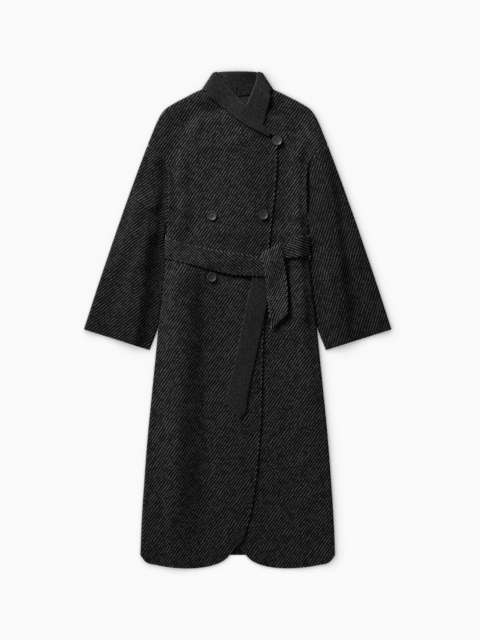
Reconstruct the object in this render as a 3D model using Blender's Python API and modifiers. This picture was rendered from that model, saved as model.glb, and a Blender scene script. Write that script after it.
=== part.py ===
"""Belted double-breasted coat of double-faced wool, laid on its back with the fronts up.

Metres. +Z is up from the surface the coat lies on, +Y runs to the collar, the wearer's right is at -X. Each cloth
piece is an open sheet through sections worked out below and thickened by Solidify. Plan tables give `out`, the
distance from the middle line towards the piece's own side, and `y`, so one table serves right and left.
"""

from collections import namedtuple

import bpy
import numpy as np
from mathutils import Vector

# Cloth and how it lies
CLOTH = 0.0025
SEAM = 0.0013
NECK_GAP = 0.0014
ARM_GAP = 0.0009
LAYER = 0.0034
LAP_LAYER = 0.0042
FOLD = 0.006
EDGE_Z = CLOTH / 2 + FOLD
SAG = 0.008
SAG_RUN = 0.055
SWELL_RUN = 0.03
LOWEST_UPPER = 1.5 * CLOTH + 0.0006
UNDERARM_EASE = 0.4
SLEEVE_EASE_RUN = 0.025
SLEEVE_FOLD = 0.0032
SLEEVE_FOLD_RUN, SLEEVE_INNER_RUN = 0.06, 0.05
LAP_RUN = 0.03
STEP_RUN = 0.045

RIGHT, LEFT = -1, 1
Point = namedtuple("Point", "out y")
Fold = namedtuple("Fold", "x0 y0 x1 y1 left right rise low_share")
Roll = namedtuple("Roll", "out y fall_out fall_y stand_share height_share")
Strip = namedtuple("Strip", "x0 y0 x1 y1")

# Outline of the coat as it lies
SHOULDER = [
    Point(0.0848, 0.5806),
    Point(0.1017, 0.5735),
    Point(0.1324, 0.5583),
    Point(0.1609, 0.5432),
    Point(0.1829, 0.5283),
    Point(0.1939, 0.5135),
    Point(0.2039, 0.4934),
    Point(0.2122, 0.4734),
    Point(0.2264, 0.4380),
]
SLEEVE_OUTER = [
    Point(0.2264, 0.4380),
    Point(0.2507, 0.3730),
    Point(0.2906, 0.2621),
    Point(0.3217, 0.1714),
    Point(0.3523, 0.0806),
    Point(0.3858, -0.0232),
]
ARMHOLE = [
    Point(0.2264, 0.4380),
    Point(0.2100, 0.4275),
    Point(0.1940, 0.4150),
    Point(0.1810, 0.3960),
    Point(0.1756, 0.3700),
    Point(0.1745, 0.3200),
    Point(0.1758, 0.2700),
    Point(0.1778, 0.2320),
]
SIDE = [
    Point(0.1778, 0.2320),
    Point(0.1796, 0.1900),
    Point(0.1806, 0.1462),
    Point(0.1888, 0.0605),
    Point(0.1978, -0.0151),
    Point(0.2061, -0.0983),
    Point(0.2165, -0.2016),
    Point(0.2262, -0.3024),
    Point(0.2339, -0.4032),
    Point(0.2405, -0.5040),
    Point(0.2440, -0.5910),
]
SLEEVE_INNER = [
    Point(0.1812, 0.2310),
    Point(0.1874, 0.2100),
    Point(0.1882, 0.1480),
    Point(0.1870, 0.1400),
    Point(0.1860, 0.1290),
    Point(0.1926, 0.0605),
    Point(0.1974, 0.0200),
    Point(0.2018, -0.0160),
    Point(0.2080, -0.0370),
    Point(0.2229, -0.0745),
]
FRONT_EDGE = [
    Point(-0.1041, 0.4536),
    Point(-0.0998, 0.4360),
    Point(-0.0973, 0.3856),
    Point(-0.0927, 0.3175),
    Point(-0.0859, 0.2596),
    Point(-0.0789, 0.1966),
    Point(-0.0625, -0.0756),
    Point(-0.0575, -0.2470),
    Point(-0.0486, -0.3679),
    Point(-0.0416, -0.4284),
    Point(-0.0292, -0.4952),
    Point(-0.0078, -0.5587),
    Point(0.0118, -0.5821),
]
FRONT_HEM = [
    Point(0.2440, -0.5910),
    Point(0.2311, -0.6078),
    Point(0.2008, -0.6166),
    Point(0.1706, -0.6214),
    Point(0.1202, -0.6245),
    Point(0.0950, -0.6232),
    Point(0.0648, -0.6177),
    Point(0.0345, -0.6048),
    Point(0.0118, -0.5821),
]

# Largest folds of the upper sheets, each a soft ridge along a line in plan, from its lower end up
FOLDS = [
    Fold(-0.161, -0.640, -0.131, 0.110, 0.045, 0.047, 0.0290, 0.20),
    Fold(0.010, -0.600, 0.012, 0.030, 0.055, 0.050, 0.0050, 0.20),
    Fold(0.187, -0.600, 0.160, 0.030, 0.045, 0.030, 0.0075, 0.40),
    Fold(0.168, 0.010, 0.157, 0.250, 0.030, 0.012, 0.0070, 1.0),
    Fold(0.035, 0.262, 0.020, 0.405, 0.080, 0.050, 0.0100, 1.0),
    Fold(-0.138, 0.240, -0.139, 0.410, 0.014, 0.024, 0.0075, 1.0),
    Fold(0.150, 0.270, 0.156, 0.430, 0.020, 0.012, 0.0070, 1.0),
    Fold(-0.204, 0.290, -0.206, 0.400, 0.022, 0.015, 0.0070, 1.0),
    Fold(-0.269, -0.120, -0.224, 0.280, 0.060, 0.026, 0.0210, 0.45),
    Fold(0.2967, -0.120, 0.2185, 0.450, 0.050, 0.020, 0.0150, 0.35),
    Fold(0.258, -0.060, 0.235, 0.110, 0.022, 0.070, 0.0080, 1.0),
]
FOLD_FADE = 2.4
BODY_STEP, SLEEVE_STEP = 0.0034, -0.0030
STEP_WIDTH, STEP_SHORT = 0.011, 20
STEP_TOP, STEP_TOP_RUN = 0.415, 0.050

# Collar, from the centre back to the top button
COLLAR_TOP = 0.6245
COLLAR_SEAM = 0.0004
ROLL_RADIUS = 0.002
TURN_RADIUS, TURN_NECK_RADIUS = 0.008, 0.0048
BACK_ROLL = [Point(COLLAR_SEAM / 2, COLLAR_TOP), Point(0.0250, COLLAR_TOP), Point(0.0450, COLLAR_TOP)]
BACK_NECK = [Point(COLLAR_SEAM / 2, 0.5607), Point(0.0360, 0.5640), Point(0.0590, 0.5715)]
BACK_FALL = [Point(COLLAR_SEAM / 2, 0.5660), Point(0.0350, 0.5690), Point(0.0590, 0.5745)]
BACK_STAND = (0.018, 0.014, 0.004)
FALL_OFF, FALL_OFF_END, FALL_OFF_RUN = 0.0025, 0.515, 0.030
TURN_ROLL, TURN_NECK, TURN_FALL = Point(0.0530, 0.6205), Point(0.0780, 0.5800), Point(0.0783, 0.5796)
TURN_OUT, TURN_ROLL_OUT = np.array([0.832, 0.555]), np.array([1.0, -0.25])
TURN_ANGLES = (0, 45, 90, 135, 180)
COLLAR_RIGHT = [
    Roll(0.0413, 0.6088, 0.0741, 0.5627, 0.80, 0.80),
    Roll(0.0219, 0.5839, 0.0547, 0.5473, 0.65, 0.40),
    Roll(0.0028, 0.5627, 0.0297, 0.5279, 0.60, 0.12),
    Roll(-0.0166, 0.5418, 0.0008, 0.5048, 0.60, 0.0),
    Roll(-0.0360, 0.5201, -0.0285, 0.4856, 0.60, 0.0),
    Roll(-0.0570, 0.4952, -0.0570, 0.4720, 0.60, 0.0),
    Roll(-0.0840, 0.4690, -0.0790, 0.4600, 0.60, 0.0),
]
COLLAR_LEFT = [
    Roll(0.0470, 0.6030, 0.0840, 0.5640, 0.70, 0.75),
    Roll(0.0375, 0.5790, 0.0839, 0.5473, 0.62, 0.30),
    Roll(0.0242, 0.5473, 0.0743, 0.5201, 0.60, 0.05),
    Roll(0.0080, 0.5260, 0.0580, 0.4870, 0.60, 0.0),
    Roll(-0.0150, 0.5040, 0.0250, 0.4660, 0.60, 0.0),
    Roll(-0.0480, 0.4840, -0.0300, 0.4580, 0.60, 0.0),
    Roll(-0.0830, 0.4690, -0.0780, 0.4590, 0.60, 0.0),
]
COLLAR_LIFT = 0.0042
COLLAR_LIFT_REACH, COLLAR_LIFT_RUN = 0.030, 0.030
NECK_LIFT = 2 * ROLL_RADIUS
NECK_LIFT_REACH, NECK_LIFT_RUN = 0.016, 0.035

# Belt
BELT_RIGHT = [
    Strip(-0.1832, 0.2041, -0.1832, 0.1537),
    Strip(-0.1429, 0.1940, -0.1429, 0.1462),
    Strip(-0.0786, 0.1797, -0.0786, 0.1298),
    Strip(-0.0144, 0.1678, -0.0144, 0.1154),
    Strip(0.0501, 0.1588, 0.0501, 0.1109),
    Strip(0.0720, 0.1530, 0.0720, 0.1084),
]
BELT_LEFT = [
    Strip(0.1837, 0.2097, 0.1837, 0.1633),
    Strip(0.1530, 0.2080, 0.1530, 0.1588),
    Strip(0.1142, 0.1800, 0.1142, 0.1562),
    Strip(0.0990, 0.1710, 0.0990, 0.1525),
]
TAIL_SHORT = [
    Strip(0.0600, 0.1650, 0.1080, 0.1870),
    Strip(0.0690, 0.1110, 0.1174, 0.1400),
    Strip(0.0764, 0.0464, 0.1255, 0.0592),
    Strip(0.0791, 0.0150, 0.1247, 0.0200),
    Strip(0.0846, -0.0224, 0.1237, 0.0150),
]
TAIL_LONG = [
    Strip(0.0400, 0.1290, 0.0640, 0.1290),
    Strip(0.0381, 0.1074, 0.0668, 0.1074),
    Strip(0.0232, 0.0418, 0.0751, 0.0580),
    Strip(0.0096, -0.0265, 0.0668, 0.0091),
    Strip(-0.0071, -0.1084, 0.0476, -0.0806),
    Strip(-0.0270, -0.1960, 0.0250, -0.1900),
    Strip(-0.0280, -0.2050, 0.0236, -0.1990),
    Strip(-0.0225, -0.2130, 0.0226, -0.2070),
    Strip(0.0060, -0.2460, 0.0200, -0.2300),
]
KNOT = (0.066, 0.128)
KNOT_RISE, KNOT_SPREAD = 0.0068, 0.030
PILE_FULL, PILE_NONE = 0.075, 0.140
TAIL_BACK_LENGTH = 0.012
TAIL_LEAN = 0.006
TAIL_FULL, TAIL_NONE = 0.080, 0.165
BELT_EASE = 0.0006
BELT_LIFT_REACH = 0.032
BELT_BACK_RIGHT_Y, BELT_BACK_LEFT_Y = 0.1789, 0.1865
BELT_LIFT_RUN = 0.028
BELT_TURN_ANGLES = (0, 12, 40, 66)

# Buttons
BUTTON_RADIUS = 0.012
BUTTON_GAP = 0.0007
BUTTON_STEPS = 16
BUTTON_PROBES = 8
BUTTON_PROFILE = [
    Point(0.0, 0.0),
    Point(0.0110, 0.0),
    Point(0.0120, 0.0010),
    Point(0.0120, 0.0030),
    Point(0.0112, 0.0040),
    Point(0.0104, 0.0040),
    Point(0.0064, 0.0023),
    Point(0.0, 0.0021),
]
BUTTONS = {
    "button_top": (0.0995, 0.4508),
    "button_mid_right": (-0.0648, 0.2621),
    "button_mid_left": (0.0640, 0.2638),
    "button_low_right": (-0.0660, 0.1076),
    "button_low_left": (0.0640, 0.1076),
}

# Section spacing
EDGE_STEPS = (1.0 - np.cos(np.radians([0, 30, 60, 90]))) * FOLD
CURVE_POINTS = 90
PANEL_SPAN = 0.30
PANEL_EDGE_SLANT = 1.3
PANEL_EDGE_STEPS = EDGE_STEPS * PANEL_EDGE_SLANT
FRONT_COLUMNS, BACK_COLUMNS = 11, 12
SHOULDER_ROWS, ARM_CELLS = 8, 7
Rows = namedtuple("Rows", "outer_share edge_share count")
SIDE_ROWS = [Rows(0.30, 0.370, 10), Rows(0.90, 0.880, 8), Rows(1.00, 1.000, 4)]
SHOULDER_EDGE_SHARE, ARM_EDGE_SHARE = 0.050, 0.215
ARM_STEPS = np.array([0.0, 0.008, 0.016, 0.026])
ARM_RUN = 0.25
PANEL_REACH, SLEEVE_REACH = 5, 6
SLEEVE_ROWS, SLEEVE_SPAN = 16, 0.17
STAND_CELLS, ROLL_CELLS, FALL_CELLS = 3, 4, 4
COLLAR_SECTIONS = 29
BELT_CELLS, BELT_LONG_CELLS, BELT_BACK_CELLS = 4, 16, 8

# Linear colours of the cloth's two faces and of the horn, with roughness
TWILL_COLOUR = (0.022, 0.022, 0.024, 1.0)
FELT_COLOUR = (0.026, 0.026, 0.028, 1.0)
HORN_COLOUR = (0.015, 0.015, 0.016, 1.0)
CLOTH_ROUGHNESS, HORN_ROUGHNESS = 0.9, 0.35


def soft(value):
    """0 below 0, 1 above 1, an S between."""
    part = np.clip(value, 0.0, 1.0)
    return part * part * (3.0 - 2.0 * part)


def chords(table):
    """How far along a table's rows each row lies."""
    return np.concatenate([[0.0], np.cumsum(np.linalg.norm(np.diff(table, axis=0), axis=1))])


def through(rows, count=CURVE_POINTS, at=None):
    """A soft curve through the rows of a table, evenly spaced, or by rows where their places are given."""
    table = np.array(rows, float)
    if at is None:
        at = chords(table)
        wanted = np.linspace(0.0, at[-1], count)
    else:
        wanted = np.interp(np.linspace(0.0, len(at) - 1, count), np.arange(len(at)), at)
    slopes = np.gradient(table, at, axis=0)
    k = np.clip(np.searchsorted(at, wanted, side="right") - 1, 0, len(table) - 2)
    step = (at[k + 1] - at[k])[:, None]
    s = ((wanted - at[k])[:, None]) / step
    ends = table[k] * (2 * s**3 - 3 * s**2 + 1) + table[k + 1] * (3 * s**2 - 2 * s**3)
    return ends + step * (slopes[k] * (s**3 - 2 * s**2 + s) + slopes[k + 1] * (s**3 - s**2))


def along(line, share):
    """Points of a polyline at shares of its length."""
    at = chords(line)
    wanted = np.asarray(share) * at[-1]
    return np.stack([np.interp(wanted, at, line[:, i]) for i in range(line.shape[1])], axis=-1)


def nearest(out, y, line):
    """Distance from each point to a polyline, and the point of it that is nearest."""
    points = np.stack([np.ravel(out), np.ravel(y)], axis=1)[:, None, :]
    start, run = line[None, :-1], np.diff(line, axis=0)[None]
    share = ((points - start) * run).sum(-1) / np.maximum((run * run).sum(-1), 1e-18)
    foot = start + np.clip(share, 0.0, 1.0)[..., None] * run
    gaps = np.linalg.norm(points - foot, axis=-1)
    best = gaps.argmin(axis=1)
    pick = np.arange(len(best))
    return gaps[pick, best].reshape(np.shape(out)), foot[pick, best].reshape(*np.shape(out), 2)


def offset(line, amount):
    """The polyline moved sideways, to the left of its direction, by an amount for each point."""
    run = np.gradient(line, axis=0)
    run /= np.linalg.norm(run, axis=1)[:, None]
    return line + np.stack([-run[:, 1], run[:, 0]], axis=1) * np.reshape(amount, (-1, 1))


def turned_edge(distance, radius=FOLD):
    """Share of the fold radius reached this far in from a turned edge."""
    return np.sqrt(1.0 - (1.0 - np.clip(distance / radius, 0.0, 1.0)) ** 2)


SHOULDER_LINE = through(SHOULDER)
SLEEVE_LINE = through(SLEEVE_OUTER)
OUTER_LINE = np.concatenate([SHOULDER_LINE, SLEEVE_LINE[1:]])
ARM_LINE = through(ARMHOLE)
SIDE_LINE = through(SIDE)
BODY_LINE = np.concatenate([ARM_LINE, SIDE_LINE[1:]])
INNER_LINE = through(SLEEVE_INNER)
EDGE_LINE = through(FRONT_EDGE)
UNDERARM = np.array(SIDE[0])


def body_distances(x, y):
    """How far a point of the body lies from the shoulder fold and from the side fold."""
    out = np.abs(x)
    side, foot = nearest(out, y, BODY_LINE)
    above = np.where(foot[..., 1] > UNDERARM[1], np.linalg.norm(foot - UNDERARM, axis=-1), 0.0)
    return nearest(out, y, OUTER_LINE)[0], side + UNDERARM_EASE * above


def sleeve_distances(x, y):
    """How far a point of a sleeve lies from its outer fold and from its inner fold."""
    out = np.abs(x)
    ease = soft(nearest(out, y, ARM_LINE)[0] / SLEEVE_EASE_RUN)
    inner = nearest(out, y, INNER_LINE)[0] * (UNDERARM_EASE + (1.0 - UNDERARM_EASE) * ease)
    return nearest(out, y, OUTER_LINE)[0], inner


def swell(x, y):
    """Height of the large folds at a point."""
    total = np.zeros(np.shape(x))
    for fold in FOLDS:
        line = np.array([[fold.x0, fold.y0], [fold.x1, fold.y1]])
        away, foot = nearest(x, y, line)
        side = np.clip((x - foot[..., 0]) / np.maximum(away, 1e-9), -1.0, 1.0)
        width = ((1.0 - side) * fold.left + (1.0 + side) * fold.right) / 2
        place = (foot[..., 1] - fold.y0) / (fold.y1 - fold.y0)
        rise = fold.rise * (fold.low_share + (1.0 - fold.low_share) * soft(FOLD_FADE * place))
        total += rise * np.exp(-((away / width) ** 2))
    return total


def arm_step(x, y, amount):
    """How far a piece is lifted along the armhole seam, or lowered below zero."""
    away = nearest(np.abs(x), y, ARM_LINE[:-STEP_SHORT])[0]
    return amount * np.exp(-((away / STEP_WIDTH) ** 2)) * soft((STEP_TOP - y) / STEP_TOP_RUN)


def under_lift(x, y):
    """How far the belt behind the waist and the collar behind the neck lift what lies on them."""
    share = (np.asarray(x) - BELT_RIGHT[0].x0) / (BELT_LEFT[0].x0 - BELT_RIGHT[0].x0)
    middle = BELT_BACK_RIGHT_Y + share * (BELT_BACK_LEFT_Y - BELT_BACK_RIGHT_Y)
    belt = LAYER * soft(1.0 - (np.abs(y - middle) - BELT_LIFT_REACH) / BELT_LIFT_RUN)
    reach = nearest(np.abs(x), y, np.array([*BACK_NECK, TURN_NECK]))[0] - NECK_LIFT_REACH
    return np.maximum(NECK_LIFT * soft(1.0 - reach / NECK_LIFT_RUN), belt)


def upper_height(x, y, distances, step, seam=0.0):
    """Middle of the upper sheet, turned down at its folds and settled between them."""
    first, second = distances(x, y)
    least = np.minimum(first, second)
    height = EDGE_Z + seam + (FOLD - seam) * turned_edge(first) * turned_edge(second)
    height = height - SAG * soft((least - FOLD) / SAG_RUN)
    lift = swell(x, y) + under_lift(x, y) + arm_step(x, y, step)
    height = height + lift * soft(least / SWELL_RUN)
    return np.maximum(height, LOWEST_UPPER)


def front_height(x, y, side):
    """Middle of a front. The right one is lifted where it laps over the left front and its collar."""
    height = upper_height(x, y, body_distances, BODY_STEP, SEAM / 2)
    if side == LEFT:
        return height
    hidden_edge = np.interp(-np.asarray(y), -EDGE_LINE[:, 1], EDGE_LINE[:, 0])
    height = height + LAP_LAYER * soft((x - hidden_edge + LAP_RUN) / LAP_RUN)
    middle = [((r.out + r.fall_out) / 2, (r.y + r.fall_y) / 2) for r in COLLAR_LEFT[2:]]
    reach = nearest(x, y, np.array(middle))[0] - COLLAR_LIFT_REACH
    return height + COLLAR_LIFT * soft(1.0 - reach / COLLAR_LIFT_RUN)


def top_height(x, y):
    """Middle of whichever front is uppermost, easing down over the right front's edge."""
    edge = -np.interp(-np.asarray(y), -EDGE_LINE[:, 1], EDGE_LINE[:, 0])
    over = soft(1.0 - (x - edge) / STEP_RUN)
    return over * front_height(x, y, RIGHT) + (1.0 - over) * front_height(x, y, LEFT)


def back_height(x, y):
    """Middle of the back, which lies on the surface, lifted over the belt and the collar."""
    shoulder, side = body_distances(x, y)
    return EDGE_Z - SEAM / 2 - turned_edge(shoulder) * turned_edge(side) * (FOLD - SEAM / 2 - under_lift(x, y))


def sleeve_heights(x, y):
    """Middles of the sleeve's upper and lower sheets. Away from the armhole the inner side lies low."""
    first, second = sleeve_distances(x, y)
    upper = upper_height(x, y, sleeve_distances, SLEEVE_STEP)
    lower = EDGE_Z - FOLD * turned_edge(first) * turned_edge(second)
    away = soft(nearest(np.abs(x), y, ARM_LINE)[0] / SLEEVE_FOLD_RUN)
    share = away ** 2 * (1.0 - soft(second / SLEEVE_INNER_RUN))
    bend = SLEEVE_FOLD * turned_edge(second, SLEEVE_FOLD) * turned_edge(first)
    middle = CLOTH / 2 + SLEEVE_FOLD
    return upper + share * (middle + bend - upper), lower + share * (middle - bend - lower)


def patch(start, end, top, bottom, across, start_down, end_down, reach):
    """Plan points between four edges that share their corners, at shares across each row and down both sides."""
    u, v = across[..., None], end_down[:, None, None]
    first, last = along(start, start_down)[:, None], along(end, end_down)[:, None]
    head = along(top, across) - (1 - u) * start[0] - u * end[0]
    foot = along(bottom, across) - (1 - u) * start[-1] - u * end[-1]
    return (1 - u) * first + u * last + (1 - v) ** reach * head + v**reach * foot


def close_at_edge(span, steps, cells, both_ends=False):
    """Shares of a span, close together at a turned edge and even after it."""
    edge = steps / span
    if not both_ends:
        return np.concatenate([edge, np.linspace(edge[-1], 1.0, cells + 1)[1:]])
    return np.concatenate([edge, np.linspace(edge[-1], 1 - edge[-1], cells + 1)[1:-1], 1 - edge[::-1]])


def arm_shares():
    """Shares along the armhole, close at both ends, kept by the front, the back and the sleeve."""
    return close_at_edge(SLEEVE_SPAN, EDGE_STEPS, ARM_CELLS, both_ends=True)


def panel_rows():
    """For each row of a panel: share down its outer edge, share down its front edge, share of armhole columns."""
    ends = np.cumsum([chords(line)[-1] for line in (SHOULDER_LINE, ARM_LINE, SIDE_LINE)])
    shoulder, arm = ends[:2] / ends[2]
    down_arm = arm_shares()[1:]
    outer = [np.linspace(0.0, shoulder, SHOULDER_ROWS + 1), shoulder + (arm - shoulder) * down_arm]
    edge = [
        np.linspace(0.0, SHOULDER_EDGE_SHARE, SHOULDER_ROWS + 1),
        SHOULDER_EDGE_SHARE + (ARM_EDGE_SHARE - SHOULDER_EDGE_SHARE) * down_arm,
    ]
    for rows in SIDE_ROWS:
        outer.append(np.linspace(outer[-1][-1], arm + (1.0 - arm) * rows.outer_share, rows.count + 1)[1:])
        edge.append(np.linspace(edge[-1][-1], rows.edge_share, rows.count + 1)[1:])
    outer, edge = np.concatenate(outer), np.concatenate(edge)
    at = (outer - shoulder) / (arm - shoulder)
    return outer, edge, soft(np.minimum(at, 1.0 - at) / ARM_RUN)


def panel_columns(span, cells, at_arm, both_ends=False):
    """Columns for each row, close at a turned edge and wider along the armhole, where the cloth lies flat."""
    close = close_at_edge(span, PANEL_EDGE_STEPS, cells, both_ends)
    wide = close_at_edge(span, ARM_STEPS, cells, both_ends)
    return close[None] * (1.0 - at_arm[:, None]) + wide[None] * at_arm[:, None]


def material(name, colour, roughness):
    made = bpy.data.materials.new(name)
    made.use_nodes = True
    shader = made.node_tree.nodes["Principled BSDF"]
    shader.inputs["Base Color"].default_value = colour
    shader.inputs["Roughness"].default_value = roughness
    return made


def mesh_object(name, points, faces, finish):
    mesh = bpy.data.meshes.new(name)
    mesh.from_pydata([tuple(p) for p in points], [], faces)
    mesh.polygons.foreach_set("use_smooth", [True] * len(mesh.polygons))
    mesh.update()
    made = bpy.data.objects.new(name, mesh)
    mesh.materials.append(material(name, *finish))
    COAT.objects.link(made)
    return made


def sheet(name, grid, colour, ring=False):
    """A cloth piece through the rows of a grid of points, joined round where the rows are rings."""
    rows, columns = grid.shape[:2]
    faces = []
    for i in range(rows - 1):
        for j in range(columns - (not ring)):
            k = (j + 1) % columns
            faces.append((i * columns + j, (i + 1) * columns + j, (i + 1) * columns + k, i * columns + k))
    made = mesh_object(name, grid.reshape(-1, 3), faces, (colour, CLOTH_ROUGHNESS))
    wall = made.modifiers.new("Wall", "SOLIDIFY")
    wall.thickness = CLOTH
    wall.offset = 0.0
    wall.use_quality_normals = True
    return made


def body_side():
    """Shoulder, armhole and side edge of a body panel, from the neck to the hem."""
    arm = offset(ARM_LINE, -ARM_GAP / 2)
    arm[-1] = UNDERARM
    return np.concatenate([SHOULDER_LINE[:-1], arm[1:], SIDE_LINE[1:]])


def collar_sections(rolls):
    """Rows of a collar half from the centre back: neck seam, roll and free edge in plan, turn, height and stand."""
    rows = []
    for roll, neck, fall, stand in zip(BACK_ROLL, BACK_NECK, BACK_FALL, BACK_STAND):
        rows.append((*neck, roll.out, roll.y - ROLL_RADIUS - CLOTH / 2, *fall, 0.0, 1.0, stand))
    for angle in TURN_ANGLES:
        swing = np.sin(np.radians(angle))
        neck = np.array(TURN_NECK) + swing * TURN_NECK_RADIUS * TURN_OUT
        fall = np.array(TURN_FALL) + swing * (TURN_RADIUS + ROLL_RADIUS) * TURN_OUT
        roll = np.array(TURN_ROLL) + swing * TURN_RADIUS * TURN_ROLL_OUT
        rows.append((*neck, *roll, *fall, angle, 1.0, 0.0))
    for r in rolls:
        roll, fall = np.array([r.out, r.y]), np.array([r.fall_out, r.fall_y])
        down = (fall - roll) / np.linalg.norm(fall - roll)
        neck = roll + (fall - roll) * r.stand_share
        rows.append((*neck, *(roll + down * (ROLL_RADIUS + CLOTH / 2)), *fall, 180.0, r.height_share, 0.0))
    table = np.array(rows)
    path = np.column_stack([table[:, 2:4], np.radians(table[:, 6]) * TURN_RADIUS])
    return through(rows, COLLAR_SECTIONS, chords(path))


def neckline(rolls):
    """The front's edge under the collar, from the shoulder to the top button."""
    rows = [np.array(SHOULDER[0]), np.array(TURN_NECK)]
    for r in rolls:
        rows.append(np.array([r.out, r.y]) + (np.array([r.fall_out, r.fall_y]) - [r.out, r.y]) * r.stand_share)
    line = offset(through(rows), NECK_GAP)
    line[0] = SHOULDER[0]
    line = np.concatenate([line, [FRONT_EDGE[0]]])
    across = np.linspace(line[0, 0], line[-1, 0], CURVE_POINTS)
    return np.stack([across, np.interp(-across, -line[:, 0], line[:, 1])], axis=1)


def front(name, side, rolls):
    """A front, from the shoulder, armhole and side in to its free edge under the collar and down the lap."""
    outer, edge, at_arm = panel_rows()
    columns = panel_columns(PANEL_SPAN, FRONT_COLUMNS, at_arm)
    hem = through(FRONT_HEM)
    plan = patch(body_side(), EDGE_LINE, neckline(rolls), hem, columns, outer, edge, PANEL_REACH)
    x, y = side * plan[..., 0], plan[..., 1]
    z = front_height(x, y, side)
    return sheet(name, np.stack([x, y, z], axis=-1), TWILL_COLOUR)


def back():
    """The whole back, lying on the surface, turned up at both sides to meet the fronts."""
    right, mirror = body_side(), np.array([-1.0, 1.0])
    half = offset(through([SHOULDER[0], TURN_NECK, *BACK_NECK[::-1]]), NECK_GAP)
    half[0], half[-1, 0] = SHOULDER[0], 0.0
    top = np.concatenate([half * mirror, half[-2::-1]])
    hem = np.array([mirror * SIDE[-1], np.array(SIDE[-1])])
    down, _, at_arm = panel_rows()
    columns = panel_columns(2 * PANEL_SPAN, BACK_COLUMNS, at_arm, both_ends=True)
    plan = patch(right * mirror, right, top, hem, columns, down, down, PANEL_REACH)
    x, y = plan[..., 0], plan[..., 1]
    return sheet("back", np.stack([x, y, back_height(x, y)], axis=-1), TWILL_COLOUR)


def sleeve(name, side):
    """A sleeve as a flat tube: upper sheet, inner fold, lower sheet and outer fold, from the armhole to the cuff."""
    away = UNDERARM_EASE * np.linalg.norm(ARM_LINE - UNDERARM, axis=1)
    head = offset(ARM_LINE, ARM_GAP / 2 + CLOTH * np.clip(1.0 - away / FOLD, 0.0, 1.0))
    outer = SLEEVE_LINE.copy()
    outer[0] = along(SLEEVE_LINE, ARM_GAP / 2 / chords(SLEEVE_LINE)[-1])
    head[0], head[-1] = outer[0], INNER_LINE[0]
    cuff = np.array([outer[-1], INNER_LINE[-1]])
    down = np.linspace(0.0, 1.0, SLEEVE_ROWS + 1)
    columns = np.repeat(arm_shares()[None], len(down), axis=0)
    plan = patch(outer, INNER_LINE, head, cuff, columns, down, down, SLEEVE_REACH)
    x, y = side * plan[..., 0], plan[..., 1]
    upper, lower = sleeve_heights(x, y)
    ends = (upper + lower) / 2
    upper[:, [0, -1]] = ends[:, [0, -1]]
    over = np.stack([x, y, upper], axis=-1)
    under = np.stack([x, y, lower], axis=-1)[:, -2:0:-1]
    return sheet(name, np.concatenate([over, under], axis=1), TWILL_COLOUR, ring=True)


def collar(name, side, rolls):
    """Stand, roll and fall of a collar half, as one strip folded over its roll line."""
    rows = []
    for row in collar_sections(rolls):
        neck, roll, fall, (angle, share, stand) = row[0:2], row[2:4], row[4:6], row[6:9]
        turn = np.radians(np.clip(angle, 0.0, 180.0))
        rise = (1.0 - np.cos(turn)) / 2
        place = np.array([side, 1.0])
        front_z = [float(front_height(*(p * place), side)) for p in (neck, roll, fall)]
        turned = CLOTH / 2 + ROLL_RADIUS + 2 * TURN_RADIUS * rise + stand
        lying = front_z[1] + ROLL_RADIUS
        roll_z = turned * share + lying * (1.0 - share)
        neck_z = (CLOTH / 2 + NECK_LIFT) * (1.0 - rise) + front_z[0] * rise
        off = FALL_OFF * (soft((fall[1] - FALL_OFF_END) / FALL_OFF_RUN) if side == LEFT else 1.0)
        fall_z = CLOTH / 2 * (1.0 - rise) + (front_z[2] + LAYER + off) * rise
        down = (fall - roll) / np.linalg.norm(fall - roll)
        outward = np.array([-down[1], down[0]])
        normal = np.array([*(outward * np.sin(turn)), -np.cos(turn)])
        centre, back_up = np.array([*roll, roll_z]), np.array([*-down, 0.0])
        inner, outer = centre - normal * ROLL_RADIUS, centre + normal * ROLL_RADIUS
        section = [inner + (np.array([*neck, neck_z]) - inner) * s for s in np.linspace(1, 0, STAND_CELLS + 1)[:-1]]
        for bend in np.linspace(0.0, np.pi, ROLL_CELLS + 1):
            section.append(centre + ROLL_RADIUS * (back_up * np.sin(bend) - normal * np.cos(bend)))
        stand_share = np.linalg.norm(neck - roll) / np.linalg.norm(fall - roll)
        for s in np.linspace(0.0, 1.0, FALL_CELLS + 1)[1:]:
            point = outer + (np.array([*fall, fall_z]) - outer) * s
            under = inner[2] + (neck_z - inner[2]) * s / stand_share
            if s > stand_share:
                under = float(front_height(*(point[:2] * place), side))
            point[2] += rise * max(0.0, under + LAYER - point[2])
            section.append(point)
        rows.append(section)
    return sheet(name, np.array(rows) * [side, 1.0, 1.0], FELT_COLOUR)


def strip_plan(rows, cells):
    """Plan points of a belt length: rows along it, cells across from its first edge to its second."""
    table = through(rows, cells + 1)[:, None]
    share = np.linspace(0.0, 1.0, BELT_CELLS + 1)[None, :, None]
    return table[..., :2] * (1 - share) + table[..., 2:] * share


def knot_rise(x, y):
    """Extra height of the layers piled at the knot."""
    return KNOT_RISE * np.exp(-((x - KNOT[0]) ** 2 + (y - KNOT[1]) ** 2) / (2 * KNOT_SPREAD**2))


def piled(x, y):
    """1 at the knot, 0 away from it."""
    reach = np.hypot(x - KNOT[0], y - KNOT[1])
    return soft((PILE_NONE - reach) / (PILE_NONE - PILE_FULL))


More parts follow.
